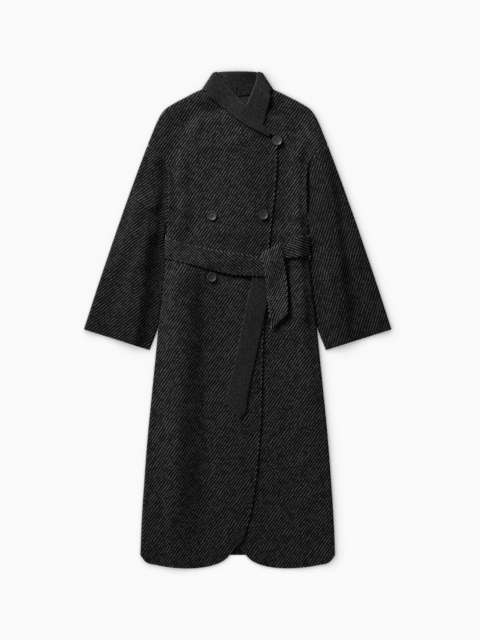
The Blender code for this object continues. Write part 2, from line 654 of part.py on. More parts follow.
def belt_turn(rows, upward):
    """The belt round the coat's side edge, from half height to the top (1) or to the surface (-1)."""
    first = rows[0]
    middle = (first.y0 + first.y1) / 2
    side = np.sign(first.x0)
    edge = np.interp(-middle, -SIDE_LINE[:, 1], SIDE_LINE[:, 0]) - FOLD
    ys = np.linspace(first.y0, first.y1, BELT_CELLS + 1)
    made = []
    for turn in np.radians(BELT_TURN_ANGLES):
        out = edge + (FOLD + LAYER) * np.cos(turn)
        tall = FOLD + LAYER if upward > 0 else FOLD - SEAM / 2
        z = EDGE_Z + upward * (SEAM / 2 + tall * np.sin(turn))
        made.append(np.stack([np.full_like(ys, side * out), ys, np.full_like(ys, z)], axis=1))
    return np.array(made)


def belt_run(name, rows, side):
    """A length of belt from the coat's side edge to the knot."""
    edge = np.interp(-rows[0].y0, -SIDE_LINE[:, 1], SIDE_LINE[:, 0]) - FOLD
    plan = strip_plan([Strip(side * edge, rows[0].y0, side * edge, rows[0].y1), *rows[1:]], BELT_LONG_CELLS)
    x, y = plan[..., 0], plan[..., 1]
    z = top_height(x, y) + LAYER * (1.0 + piled(x, y)) + BELT_EASE + knot_rise(x, y)
    grid = np.concatenate([belt_turn(rows, 1), np.stack([x, y, z], axis=-1)])
    return sheet(name, grid, TWILL_COLOUR)


def belt_back():
    """The length behind the waist, under the back, turned up at both sides."""
    right, left = belt_turn(BELT_RIGHT, -1), belt_turn(BELT_LEFT, -1)
    ends = [right[-1].copy(), left[-1].copy()]
    for end in ends:
        end[:, 0] -= np.sign(end[:, 0]) * (FOLD + LAYER) / 2
    share = np.linspace(0.0, 1.0, BELT_BACK_CELLS + 1)[:, None, None]
    floor = ends[0][None] * (1 - share) + ends[1][None] * share
    floor[..., 2] = CLOTH / 2
    return sheet("belt_back", np.concatenate([right, floor, left[::-1]]), TWILL_COLOUR)


def tail_short():
    """The short end, passed up behind the belt, over it and down in front."""
    plan = strip_plan(TAIL_SHORT, BELT_LONG_CELLS)
    x, y = plan[..., 0], plan[..., 1]
    heaped = soft((TAIL_NONE - np.hypot(x - KNOT[0], y - KNOT[1])) / (TAIL_NONE - TAIL_FULL))
    z = top_height(x, y) + LAYER * (1.0 + 2.0 * heaped) + 2 * BELT_EASE + knot_rise(x, y)
    z = z + TAIL_LEAN * np.linspace(0.0, 1.0, z.shape[1]) * (1.0 - piled(x, y))
    front_leg = np.stack([x, y, z], axis=-1)
    first, down = front_leg[0], front_leg[1] - front_leg[0]
    down[:, 2] = 0.0
    down /= np.linalg.norm(down, axis=1)[:, None]
    up = np.array([0.0, 0.0, 1.0])
    behind = [first + down * TAIL_BACK_LENGTH - 2 * LAYER * up]
    for bend in np.linspace(0.0, np.pi, ROLL_CELLS + 1)[:-1]:
        behind.append(first - LAYER * up - LAYER * (down * np.sin(bend) + up * np.cos(bend)))
    return sheet("belt_tail_short", np.concatenate([behind, front_leg]), TWILL_COLOUR)


def tail_long():
    """The long end, out from under the belt and down over the right front, reverse side up."""
    plan = strip_plan(TAIL_LONG, BELT_LONG_CELLS)
    x, y = plan[..., 0], plan[..., 1]
    z = top_height(x, y) + LAYER + knot_rise(x, y)
    return sheet("belt_tail_long", np.stack([x, y, z], axis=-1), FELT_COLOUR)


def button(name, x, y):
    """A turned disc with a raised rim, lying on the front's surface and tilted with it."""
    mesh = bpy.data.meshes.new(name)
    points = [(p.out, 0.0, p.y) for p in BUTTON_PROFILE]
    mesh.from_pydata(points, [(i, i + 1) for i in range(len(points) - 1)], [])
    made = bpy.data.objects.new(name, mesh)
    mesh.materials.append(material(name, HORN_COLOUR, HORN_ROUGHNESS))
    COAT.objects.link(made)
    turn = made.modifiers.new("Turn", "SCREW")
    turn.steps = turn.render_steps = BUTTON_STEPS
    turn.use_merge_vertices = True
    turn.merge_threshold = 0.0001
    turn.use_smooth_shade = True
    turn.use_normal_flip = True
    ring = np.linspace(0.0, 2 * np.pi, BUTTON_PROBES, endpoint=False)
    around = np.stack([x + BUTTON_RADIUS * np.cos(ring), y + BUTTON_RADIUS * np.sin(ring)])
    heights = front_height(*around, RIGHT)
    slope_x, slope_y = ((heights * np.stack([np.cos(ring), np.sin(ring)])).mean(axis=1) * 2) / BUTTON_RADIUS
    normal = Vector((-slope_x, -slope_y, 1.0)).normalized()
    made.rotation_euler = normal.to_track_quat("Z", "Y").to_euler()
    over = heights - heights.mean() - slope_x * (around[0] - x) - slope_y * (around[1] - y)
    made.location = Vector((x, y, float(heights.mean() + over.max()))) + normal * (CLOTH / 2 + BUTTON_GAP)
    return made


for old in list(bpy.data.objects):
    bpy.data.objects.remove(old, do_unlink=True)
COAT = bpy.data.collections.new("belted_coat")
bpy.context.scene.collection.children.link(COAT)
back()
front("front_right", RIGHT, COLLAR_RIGHT)
front("front_left", LEFT, COLLAR_LEFT)
sleeve("sleeve_right", RIGHT)
sleeve("sleeve_left", LEFT)
collar("collar_right", RIGHT, COLLAR_RIGHT)
collar("collar_left", LEFT, COLLAR_LEFT)
belt_run("belt_front_right", BELT_RIGHT, RIGHT)
belt_run("belt_front_left", BELT_LEFT, LEFT)
belt_back()
tail_short()
tail_long()
for button_name, place in BUTTONS.items():
    button(button_name, *place)
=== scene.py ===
"""Looks of the belted coat: its cloth as thin shells with creases, weave and felt, its horn buttons, floor and light.

Metres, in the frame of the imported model: +Z up from the floor, +Y to the collar, the wearer's right at -X.
Plan tables give `out`, the distance from the middle line towards the piece's own side, and `y`, as the part's
source does.
"""

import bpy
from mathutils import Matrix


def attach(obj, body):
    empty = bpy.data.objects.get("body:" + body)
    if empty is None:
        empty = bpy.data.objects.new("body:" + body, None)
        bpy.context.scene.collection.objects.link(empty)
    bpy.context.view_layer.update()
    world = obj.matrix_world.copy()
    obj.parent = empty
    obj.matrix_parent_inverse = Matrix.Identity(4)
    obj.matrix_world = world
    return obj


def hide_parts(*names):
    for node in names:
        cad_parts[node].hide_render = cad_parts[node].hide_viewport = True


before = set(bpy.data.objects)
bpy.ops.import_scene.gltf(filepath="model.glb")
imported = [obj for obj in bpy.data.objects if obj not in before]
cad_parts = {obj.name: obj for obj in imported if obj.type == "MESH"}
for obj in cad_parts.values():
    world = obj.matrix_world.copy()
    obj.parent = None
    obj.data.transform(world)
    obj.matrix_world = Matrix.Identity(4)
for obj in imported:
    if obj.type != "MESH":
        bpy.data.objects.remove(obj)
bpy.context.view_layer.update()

import logging
import math
from dataclasses import dataclass, field
from enum import Enum
from typing import Any, Callable, NamedTuple

import bpy
import numpy as np
from mathutils import Matrix, Vector

log = logging.getLogger("coat")
Array = np.ndarray
Distances = Callable[[Array, Array], tuple[Array, Array]]


class Side(Enum):
    """The wearer's right and left, as the sign of X."""

    RIGHT = -1
    LEFT = 1


class Point(NamedTuple):
    """A place in plan, counted out from the middle line."""

    out: float
    y: float


class Strip(NamedTuple):
    """A row across a length of belt, from its first edge to its second."""

    x0: float
    y0: float
    x1: float
    y1: float


class Roll(NamedTuple):
    """A row of the collar: roll line, free edge, where the neck seam lies between, and how high the roll stands."""

    out: float
    y: float
    fall_out: float
    fall_y: float
    stand_share: float
    height_share: float


class Crease(NamedTuple):
    """A soft ridge, or a trough below zero, along a bowed line in plan, with its own width to each side.

    `low` is the share of its rise that is left at the lower end.
    """

    x0: float
    y0: float
    x1: float
    y1: float
    bow: float
    left: float
    right: float
    rise: float
    low: float = 1.0


# Outline of the coat as it lies
SHOULDER = (
    Point(0.0848, 0.5806), Point(0.1017, 0.5735), Point(0.1324, 0.5583), Point(0.1609, 0.5432),
    Point(0.1829, 0.5283), Point(0.1939, 0.5135), Point(0.2039, 0.4934), Point(0.2122, 0.4734),
    Point(0.2264, 0.4380),
)
SLEEVE_OUTER = (
    Point(0.2264, 0.4380), Point(0.2507, 0.3730), Point(0.2906, 0.2621), Point(0.3217, 0.1714),
    Point(0.3523, 0.0806), Point(0.3858, -0.0232),
)
ARMHOLE = (
    Point(0.2264, 0.4380), Point(0.2100, 0.4275), Point(0.1940, 0.4150), Point(0.1810, 0.3960),
    Point(0.1756, 0.3700), Point(0.1745, 0.3200), Point(0.1758, 0.2700), Point(0.1778, 0.2320),
)
SIDE = (
    Point(0.1778, 0.2320), Point(0.1796, 0.1900), Point(0.1806, 0.1462), Point(0.1888, 0.0605),
    Point(0.1978, -0.0151), Point(0.2061, -0.0983), Point(0.2165, -0.2016), Point(0.2262, -0.3024),
    Point(0.2339, -0.4032), Point(0.2405, -0.5040), Point(0.2440, -0.5910),
)
SLEEVE_INNER = (
    Point(0.1800, 0.2310), Point(0.1810, 0.2190), Point(0.1832, 0.2125), Point(0.1838, 0.2050),
    Point(0.1842, 0.1580), Point(0.1832, 0.1500), Point(0.1828, 0.1420), Point(0.1908, 0.0605),
    Point(0.1964, 0.0200), Point(0.2010, -0.0160), Point(0.2080, -0.0370), Point(0.2229, -0.0745),
)
FRONT_EDGE = (
    Point(-0.1041, 0.4536), Point(-0.0998, 0.4360), Point(-0.0973, 0.3856), Point(-0.0927, 0.3175),
    Point(-0.0859, 0.2596), Point(-0.0789, 0.1966), Point(-0.0625, -0.0756), Point(-0.0575, -0.2470),
    Point(-0.0486, -0.3679), Point(-0.0416, -0.4284), Point(-0.0292, -0.4952), Point(-0.0078, -0.5587),
    Point(0.0118, -0.5821),
)
FRONT_HEM = (
    Point(0.2440, -0.5910), Point(0.2311, -0.6078), Point(0.2008, -0.6166), Point(0.1706, -0.6214),
    Point(0.1202, -0.6245), Point(0.0950, -0.6232), Point(0.0648, -0.6177), Point(0.0345, -0.6048),
    Point(0.0118, -0.5821),
)

# Large folds, straight, from their lower ends up. The solids have them too, the left sleeve's pleat a little broader
FOLDS = (
    Crease(-0.161, -0.640, -0.131, 0.110, 0.0, 0.045, 0.047, 0.0290, 0.20),
    Crease(0.010, -0.600, 0.012, 0.030, 0.0, 0.055, 0.050, 0.0050, 0.20),
    Crease(0.187, -0.600, 0.160, 0.030, 0.0, 0.045, 0.030, 0.0075, 0.40),
    Crease(0.168, 0.010, 0.157, 0.250, 0.0, 0.030, 0.012, 0.0070),
    Crease(0.035, 0.262, 0.020, 0.405, 0.0, 0.080, 0.050, 0.0100),
    Crease(-0.138, 0.240, -0.139, 0.410, 0.0, 0.014, 0.024, 0.0075),
    Crease(0.150, 0.270, 0.156, 0.430, 0.0, 0.020, 0.012, 0.0070),
    Crease(-0.204, 0.290, -0.206, 0.400, 0.0, 0.022, 0.015, 0.0070),
    Crease(-0.269, -0.120, -0.224, 0.280, 0.0, 0.060, 0.026, 0.0210, 0.45),
    Crease(0.2830, -0.120, 0.2195, 0.450, 0.0, 0.050, 0.016, 0.0140, 0.18),
    Crease(0.258, -0.060, 0.235, 0.110, 0.0, 0.022, 0.070, 0.0080, 1.0),
)

# Finer creases of this coat as it lies, from their lower ends up
CREASES = (
    Crease(-0.158, -0.020, -0.148, 0.128, -0.004, 0.014, 0.010, 0.0016),
    Crease(-0.124, 0.020, -0.118, 0.124, 0.003, 0.008, 0.008, -0.0008),
    Crease(-0.048, -0.030, -0.040, 0.104, -0.003, 0.016, 0.012, 0.0012),
    Crease(0.150, 0.010, 0.140, 0.140, 0.003, 0.010, 0.010, 0.0016),
    Crease(-0.150, 0.215, -0.158, 0.330, 0.004, 0.010, 0.012, 0.0013),
    Crease(-0.060, 0.205, -0.076, 0.300, -0.004, 0.012, 0.012, 0.0010),
    Crease(0.150, 0.228, 0.158, 0.345, 0.004, 0.009, 0.011, 0.0014),
    Crease(-0.180, 0.420, -0.188, 0.505, -0.006, 0.012, 0.008, 0.0018),
    Crease(0.192, 0.430, 0.186, 0.500, 0.006, 0.008, 0.010, 0.0012),
    Crease(-0.130, 0.430, -0.090, 0.530, -0.008, 0.020, 0.020, 0.0012),
    Crease(0.150, 0.440, 0.120, 0.540, 0.008, 0.018, 0.018, 0.0012),
    Crease(-0.214, 0.160, -0.205, 0.330, -0.006, 0.012, 0.008, 0.0016),
    Crease(-0.262, 0.080, -0.222, 0.220, 0.008, 0.010, 0.010, 0.0012),
    Crease(-0.296, 0.060, -0.286, 0.190, -0.006, 0.012, 0.012, -0.0010),
    Crease(0.216, 0.180, 0.206, 0.330, 0.006, 0.008, 0.010, 0.0014),
    Crease(0.300, 0.100, 0.290, 0.240, -0.006, 0.012, 0.012, 0.0010),
    Crease(0.250, 0.010, 0.232, 0.150, 0.005, 0.010, 0.010, 0.0012),
    Crease(0.106, -0.480, 0.090, -0.060, -0.006, 0.022, 0.018, 0.0016),
    Crease(-0.128, -0.520, -0.112, -0.060, 0.006, 0.020, 0.016, -0.0012),
    Crease(-0.066, -0.590, -0.060, -0.330, -0.004, 0.016, 0.016, 0.0012),
    Crease(0.044, -0.600, 0.030, -0.420, 0.004, 0.012, 0.012, 0.0010),
)

# Collar, from the centre back to the top button
COLLAR_TOP = 0.6245
COLLAR_SEAM = 0.00005
BACK_ROLL = (Point(COLLAR_SEAM / 2, COLLAR_TOP), Point(0.0250, COLLAR_TOP), Point(0.0450, COLLAR_TOP))
BACK_NECK = (Point(COLLAR_SEAM / 2, 0.5607), Point(0.0360, 0.5640), Point(0.0590, 0.5715))
BACK_FALL = (Point(COLLAR_SEAM / 2, 0.5660), Point(0.0350, 0.5690), Point(0.0590, 0.5745))
BACK_STAND = (0.018, 0.014, 0.004)
TURN_ROLL, TURN_NECK, TURN_FALL = Point(0.0530, 0.6205), Point(0.0780, 0.5800), Point(0.0803, 0.5745)
TURN_OUT, TURN_ROLL_OUT = (0.832, 0.555), (1.0, -0.25)
TURN_ANGLES = (0, 45, 90, 135, 180)
COLLAR_RIGHT = (
    Roll(0.0413, 0.6088, 0.0741, 0.5627, 0.80, 0.80),
    Roll(0.0219, 0.5839, 0.0547, 0.5473, 0.65, 0.40),
    Roll(0.0028, 0.5627, 0.0297, 0.5279, 0.60, 0.12),
    Roll(-0.0166, 0.5418, 0.0008, 0.5048, 0.60, 0.0),
    Roll(-0.0360, 0.5201, -0.0285, 0.4856, 0.60, 0.0),
    Roll(-0.0570, 0.4952, -0.0570, 0.4720, 0.60, 0.0),
    Roll(-0.0840, 0.4690, -0.0790, 0.4600, 0.60, 0.0),
)
COLLAR_LEFT = (
    Roll(0.0470, 0.6030, 0.0815, 0.5650, 0.70, 0.75),
    Roll(0.0375, 0.5790, 0.0785, 0.5473, 0.62, 0.30),
    Roll(0.0242, 0.5473, 0.0715, 0.5201, 0.60, 0.05),
    Roll(0.0080, 0.5260, 0.0605, 0.4870, 0.60, 0.0),
    Roll(-0.0150, 0.5040, 0.0250, 0.4660, 0.60, 0.0),
    Roll(-0.0480, 0.4840, -0.0300, 0.4580, 0.60, 0.0),
    Roll(-0.0830, 0.4690, -0.0780, 0.4590, 0.60, 0.0),
)

# Belt
BELT_RIGHT = (
    Strip(-0.1832, 0.2041, -0.1832, 0.1537), Strip(-0.1429, 0.1940, -0.1429, 0.1462),
    Strip(-0.0786, 0.1797, -0.0786, 0.1298), Strip(-0.0144, 0.1678, -0.0144, 0.1154),
    Strip(0.0501, 0.1588, 0.0501, 0.1109), Strip(0.0720, 0.1530, 0.0720, 0.1084),
)
BELT_LEFT = (
    Strip(0.1837, 0.2097, 0.1837, 0.1633), Strip(0.1530, 0.2080, 0.1530, 0.1588),
    Strip(0.1142, 0.1800, 0.1142, 0.1562), Strip(0.0990, 0.1710, 0.0990, 0.1525),
)
TAIL_SHORT = (
    Strip(0.0600, 0.1650, 0.1080, 0.1870), Strip(0.0690, 0.1110, 0.1174, 0.1400),
    Strip(0.0764, 0.0464, 0.1255, 0.0592), Strip(0.0791, 0.0150, 0.1247, 0.0200),
    Strip(0.0846, -0.0224, 0.1237, 0.0150),
)
TAIL_LONG = (
    Strip(0.0400, 0.1290, 0.0640, 0.1290), Strip(0.0381, 0.1074, 0.0668, 0.1074),
    Strip(0.0232, 0.0418, 0.0751, 0.0580), Strip(0.0096, -0.0265, 0.0668, 0.0091),
    Strip(-0.0071, -0.1084, 0.0476, -0.0806), Strip(-0.0270, -0.1960, 0.0250, -0.1900),
    Strip(-0.0280, -0.2050, 0.0236, -0.1990), Strip(-0.0225, -0.2130, 0.0226, -0.2070),
    Strip(0.0060, -0.2460, 0.0200, -0.2300),
)

# Buttons, by place on the right front
BUTTONS = {
    "button_top": Point(0.0995, 0.4508),
    "button_mid_right": Point(-0.0648, 0.2621),
    "button_mid_left": Point(0.0640, 0.2638),
    "button_low_right": Point(-0.0660, 0.1076),
    "button_low_left": Point(0.0640, 0.1076),
}

CURVE_POINTS = 90


def soft(value: Array) -> Array:
    """0 below 0, 1 above 1, an S between."""
    part = np.clip(value, 0.0, 1.0)
    return part * part * (3.0 - 2.0 * part)


def chords(table: Array) -> Array:
    """How far along a table's rows each row lies."""
    return np.concatenate([[0.0], np.cumsum(np.linalg.norm(np.diff(table, axis=0), axis=1))])


def through(rows: Any, count: int = CURVE_POINTS, at: Array | None = None) -> Array:
    """A soft curve through the rows of a table.

    Args:
        rows: The table, one row for each place.
        count: How many rows the curve has.
        at: Where along the curve each row of the table lies. Without it the curve is evenly spaced.

    Returns:
        The curve's rows.
    """
    table = np.array(rows, float)
    if at is None:
        at = chords(table)
        wanted = np.linspace(0.0, at[-1], count)
    else:
        wanted = np.interp(np.linspace(0.0, len(at) - 1, count), np.arange(len(at)), at)
    slopes = np.gradient(table, at, axis=0)
    k = np.clip(np.searchsorted(at, wanted, side="right") - 1, 0, len(table) - 2)
    step = (at[k + 1] - at[k])[:, None]
    s = ((wanted - at[k])[:, None]) / step
    ends = table[k] * (2 * s**3 - 3 * s**2 + 1) + table[k + 1] * (3 * s**2 - 2 * s**3)
    return ends + step * (slopes[k] * (s**3 - 2 * s**2 + s) + slopes[k + 1] * (s**3 - s**2))


def along(line: Array, share: Array) -> Array:
    """Points of a polyline at shares of its length."""
    at = chords(line)
    wanted = np.asarray(share) * at[-1]
    return np.stack([np.interp(wanted, at, line[:, i]) for i in range(line.shape[1])], axis=-1)


def nearest(out: Array, y: Array, line: Array) -> tuple[Array, Array, Array]:
    """Where a polyline is nearest to each point.

    Args:
        out: First coordinates of the points.
        y: Second coordinates of the points.
        line: The polyline.

    Returns:
        Distance, below zero to the right of the line, the nearest point, and the share along the line.
    """
    shape, at, runs = np.shape(out), chords(line), np.diff(line, axis=0)
    px, py = np.ravel(out), np.ravel(y)
    best, part, which = np.full(px.size, np.inf), np.zeros(px.size), np.zeros(px.size, int)
    for k, ((sx, sy), (rx, ry)) in enumerate(zip(line[:-1], runs)):
        ax, ay = px - sx, py - sy
        share = np.clip((ax * rx + ay * ry) / max(rx * rx + ry * ry, 1e-18), 0.0, 1.0)
        gap = (ax - share * rx) ** 2 + (ay - share * ry) ** 2
        closer = gap < best
        best, part, which = np.where(closer, gap, best), np.where(closer, share, part), np.where(closer, k, which)
    run = runs[which]
    foot = line[which] + part[:, None] * run
    turn = run[:, 0] * (py - foot[:, 1]) - run[:, 1] * (px - foot[:, 0])
    away = np.sqrt(best) * np.where(turn < 0.0, -1.0, 1.0)
    place = (at[which] + part * np.linalg.norm(run, axis=1)) / at[-1]
    return away.reshape(shape), foot.reshape(*shape, 2), place.reshape(shape)


def distance(out: Array, y: Array, line: Array) -> Array:
    """Distance from each point to a polyline."""
    return np.abs(nearest(out, y, line)[0])


def offset(line: Array, amount: Any) -> Array:
    """The polyline moved sideways, to the left of its direction, by an amount for each point."""
    run = np.gradient(line, axis=0)
    run /= np.linalg.norm(run, axis=1)[:, None]
    return line + np.stack([-run[:, 1], run[:, 0]], axis=1) * np.reshape(amount, (-1, 1))


SHOULDER_LINE = through(SHOULDER)
SLEEVE_LINE = through(SLEEVE_OUTER)
OUTER_LINE = np.concatenate([SHOULDER_LINE, SLEEVE_LINE[1:]])
ARM_LINE = through(ARMHOLE)
SIDE_LINE = through(SIDE)
BODY_LINE = np.concatenate([ARM_LINE, SIDE_LINE[1:]])
INNER_LINE = through(SLEEVE_INNER)
EDGE_LINE = through(FRONT_EDGE)
UNDERARM = np.array(SIDE[0])


@dataclass(frozen=True)
class Lay:
    """How the coat lies: heights of its layers over the floor, with the folds that all layers share."""

    cloth: float = 0.0025
    seam: float = 0.0013
    layer: float = 0.0034
    lap_layer: float = 0.0042
    fold: float = 0.006
    sag: float = 0.008
    sag_run: float = 0.055
    swell_run: float = 0.03
    underarm_ease: float = 0.4
    sleeve_ease_run: float = 0.025
    lap_run: float = 0.03
    step_run: float = 0.045
    belt_back_y: tuple[float, float] = (0.1789, 0.1865)
    belt_reach: float = 0.032
    belt_run: float = 0.028
    neck_lift: float = 0.004
    neck_reach: float = 0.016
    neck_run: float = 0.035
    collar_lift: float = 0.0042
    collar_reach: float = 0.030
    collar_run: float = 0.030
    ripple: float = 0.0003
    arm_step: tuple[float, float] = (0.0034, -0.0030)
    arm_step_width: float = 0.011
    arm_step_short: int = 20
    arm_step_top: float = 0.415
    arm_step_run: float = 0.050
    sleeve_fold: float = 0.0032
    sleeve_fold_run: float = 0.06
    sleeve_inner_run: float = 0.05
    lowest: float = 0.00435
    fade: float = 2.4

    @property
    def edge_z(self) -> float:
        """Height of the middle of a turned edge."""
        return self.cloth / 2 + self.fold

    def turned(self, away: Array, radius: float | None = None) -> Array:
        """Share of the fold radius reached this far in from a turned edge."""
        return np.sqrt(1.0 - (1.0 - np.clip(away / (radius or self.fold), 0.0, 1.0)) ** 2)

    def body_distances(self, x: Array, y: Array) -> tuple[Array, Array]:
        """How far a point of the body lies from the shoulder fold and from the side fold."""
        out = np.abs(x)
        side, foot, _ = nearest(out, y, BODY_LINE)
        above = np.where(foot[..., 1] > UNDERARM[1], np.linalg.norm(foot - UNDERARM, axis=-1), 0.0)
        return distance(out, y, OUTER_LINE), np.abs(side) + self.underarm_ease * above

    def sleeve_distances(self, x: Array, y: Array) -> tuple[Array, Array]:
        """How far a point of a sleeve lies from its outer fold and from its inner fold."""
        out = np.abs(x)
        ease = soft(distance(out, y, ARM_LINE) / self.sleeve_ease_run)
        inner = distance(out, y, INNER_LINE) * (self.underarm_ease + (1.0 - self.underarm_ease) * ease)
        return distance(out, y, OUTER_LINE), inner

    def creased(self, x: Array, y: Array, creases: tuple[Crease, ...], tapered: bool) -> Array:
        """Height that creases add.

        Args:
            x: Places across.
            y: Places along.
            creases: The ridges and troughs.
            tapered: Whether a crease dies away towards its ends.

        Returns:
            The summed height at each place.
        """
        px, py = np.ravel(x), np.ravel(y)
        total = np.zeros(px.size)
        for c in creases:
            start, end = np.array([c.x0, c.y0]), np.array([c.x1, c.y1])
            run = end - start
            aside = np.array([-run[1], run[0]]) / np.linalg.norm(run)
            share = np.linspace(0.0, 1.0, 6 if c.bow else 2)[:, None]
            line = start + share * run + 4 * share * (1 - share) * c.bow * aside
            reach = 2.8 * max(c.left, c.right)
            low, high = line.min(axis=0) - reach, line.max(axis=0) + reach
            near = np.flatnonzero((px > low[0]) & (px < high[0]) & (py > low[1]) & (py < high[1]))
            if not near.size:
                continue
            away, foot, place = nearest(px[near], py[near], line)
            side = np.clip((px[near] - foot[:, 0]) / np.maximum(np.abs(away), 1e-9), -1.0, 1.0)
            width = ((1.0 - side) * c.left + (1.0 + side) * c.right) / 2
            ends = soft(np.minimum(place, 1.0 - place) * 3.0) if tapered else 1.0
            ends = ends * (c.low + (1.0 - c.low) * soft(self.fade * place))
            total[near] += c.rise * np.exp(-((away / width) ** 2)) * ends
        return total.reshape(np.shape(x))

    def ripples(self, x: Array, y: Array) -> Array:
        """Slight unevenness of thick cloth, a few waves across each other."""
        waves = np.sin(61 * x + 23 * y + 0.7) + np.sin(-37 * x + 71 * y + 2.1) + np.sin(113 * x - 47 * y + 4.0)
        return self.ripple * (waves + 0.6 * np.sin(139 * x + 151 * y + 1.2))

    def under_lift(self, x: Array, y: Array) -> Array:
        """How far the belt behind the waist and the collar behind the neck lift what lies on them."""
        ends = BELT_RIGHT[0].x0, BELT_LEFT[0].x0
        middle = np.interp(x, ends, self.belt_back_y)
        belt = self.layer * soft(1.0 - (np.abs(y - middle) - self.belt_reach) / self.belt_run)
        reach = distance(np.abs(x), y, np.array([*BACK_NECK, TURN_NECK])) - self.neck_reach
        return np.maximum(self.neck_lift * soft(1.0 - reach / self.neck_run), belt)

    def upper(self, x: Array, y: Array, distances: Distances, seam: float = 0.0) -> Array:
        """Middle of the upper sheet, turned down at its folds and settled between them.

        Args:
            x: Places across.
            y: Places along.
            distances: Gives the distances from the piece's two folds.
            seam: Gap that the folds leave to the lower sheet.

        Returns:
            The height at each place.
        """
        first, second = distances(x, y)
        least = np.minimum(first, second)
        height = self.edge_z + seam + (self.fold - seam) * self.turned(first) * self.turned(second)
        height = height - self.sag * soft((least - self.fold) / self.sag_run)
        seam_away = distance(np.abs(x), y, ARM_LINE[: -self.arm_step_short])
        step = self.arm_step[distances == self.sleeve_distances] * np.exp(-((seam_away / self.arm_step_width) ** 2))
        step = step * soft((self.arm_step_top - y) / self.arm_step_run)
        lift = self.creased(x, y, FOLDS, False) + self.creased(x, y, CREASES, True) + self.ripples(x, y) + step
        height = height + (lift + self.under_lift(x, y)) * soft(least / self.swell_run)
        return np.maximum(height, self.lowest)

    def front(self, x: Array, y: Array, side: Side) -> Array:
        """Middle of a front. The right one is lifted where it laps over the left front and its collar."""
        height = self.upper(x, y, self.body_distances, self.seam / 2)
        if side is Side.LEFT:
            return height
        hidden_edge = np.interp(-np.asarray(y), -EDGE_LINE[:, 1], EDGE_LINE[:, 0])
        height = height + self.lap_layer * soft((x - hidden_edge + self.lap_run) / self.lap_run)
        middle = [((r.out + r.fall_out) / 2, (r.y + r.fall_y) / 2) for r in COLLAR_LEFT[2:]]
        reach = distance(x, y, np.array(middle)) - self.collar_reach
        return height + self.collar_lift * soft(1.0 - reach / self.collar_run)

    def top(self, x: Array, y: Array) -> Array:
        """Middle of whichever front is uppermost, easing down over the right front's edge."""
        edge = -np.interp(-np.asarray(y), -EDGE_LINE[:, 1], EDGE_LINE[:, 0])
        over = soft(1.0 - (x - edge) / self.step_run)
        return over * self.front(x, y, Side.RIGHT) + (1.0 - over) * self.front(x, y, Side.LEFT)

    def back(self, x: Array, y: Array) -> Array:
        """Middle of the back, which lies on the floor, lifted over the belt and the collar."""
        shoulder, side = self.body_distances(x, y)
        drop = self.turned(shoulder) * self.turned(side) * (self.fold - self.seam / 2 - self.under_lift(x, y))
        return self.edge_z - self.seam / 2 - drop

    def sleeve(self, x: Array, y: Array) -> tuple[Array, Array]:
        """Middles of a sleeve's upper and lower sheets. Away from the armhole the inner side lies low."""
        first, second = self.sleeve_distances(x, y)
        upper = self.upper(x, y, self.sleeve_distances)
        lower = self.edge_z - self.fold * self.turned(first) * self.turned(second)
        away = soft(distance(np.abs(x), y, ARM_LINE) / self.sleeve_fold_run)
        share = away**2 * (1.0 - soft(second / self.sleeve_inner_run))
        bend = self.sleeve_fold * self.turned(second, self.sleeve_fold) * self.turned(first)
        middle = self.cloth / 2 + self.sleeve_fold
        return upper + share * (middle + bend - upper), lower + share * (middle - bend - lower)


def linear(hex_colour: str) -> tuple[float, float, float, float]:
    """Linear colour of an sRGB hex value."""
    parts = [int(hex_colour[i : i + 2], 16) / 255 for i in (1, 3, 5)]
    return (*(c / 12.92 if c <= 0.04045 else ((c + 0.055) / 1.055) ** 2.4 for c in parts), 1.0)


def add_node(tree: bpy.types.NodeTree, kind: str, links: dict[Any, Any], **settings: Any) -> bpy.types.Node:
    """Adds a node.

    Args:
        tree: The material's nodes.
        kind: Blender's name of the node type.
        links: For each input, by name or number, the socket or the value that goes in.
        settings: The node's own settings.

    Returns:
        The node.
    """
    node = tree.nodes.new(kind)
    for name, value in settings.items():
        setattr(node, name, value)
    for place, source in links.items():
        if isinstance(source, bpy.types.NodeSocket):
            tree.links.new(source, node.inputs[place])
        else:
            node.inputs[place].default_value = source
    return node


def blank_material(name: str) -> tuple[bpy.types.Material, bpy.types.NodeTree, bpy.types.Node]:
    """A new material with its nodes and its shader."""
    made = bpy.data.materials.new(name)
    made.use_nodes = True
    return made, made.node_tree, made.node_tree.nodes["Principled BSDF"]


WOOL_SHINE, WOOL_SHEEN_ROUGHNESS = 0.05, 0.6


def set_woollen(shader: bpy.types.Node, roughness: float, sheen: float) -> None:
    """Gives a shader the dull surface of wool.

    Args:
        shader: The material's shader.
        roughness: How matt it is.
        sheen: How much its hairs catch light from the side.
    """
    shader.inputs["Roughness"].default_value = roughness
    shader.inputs["Specular IOR Level"].default_value = WOOL_SHINE
    shader.inputs["Sheen Weight"].default_value = sheen
    shader.inputs["Sheen Roughness"].default_value = WOOL_SHEEN_ROUGHNESS


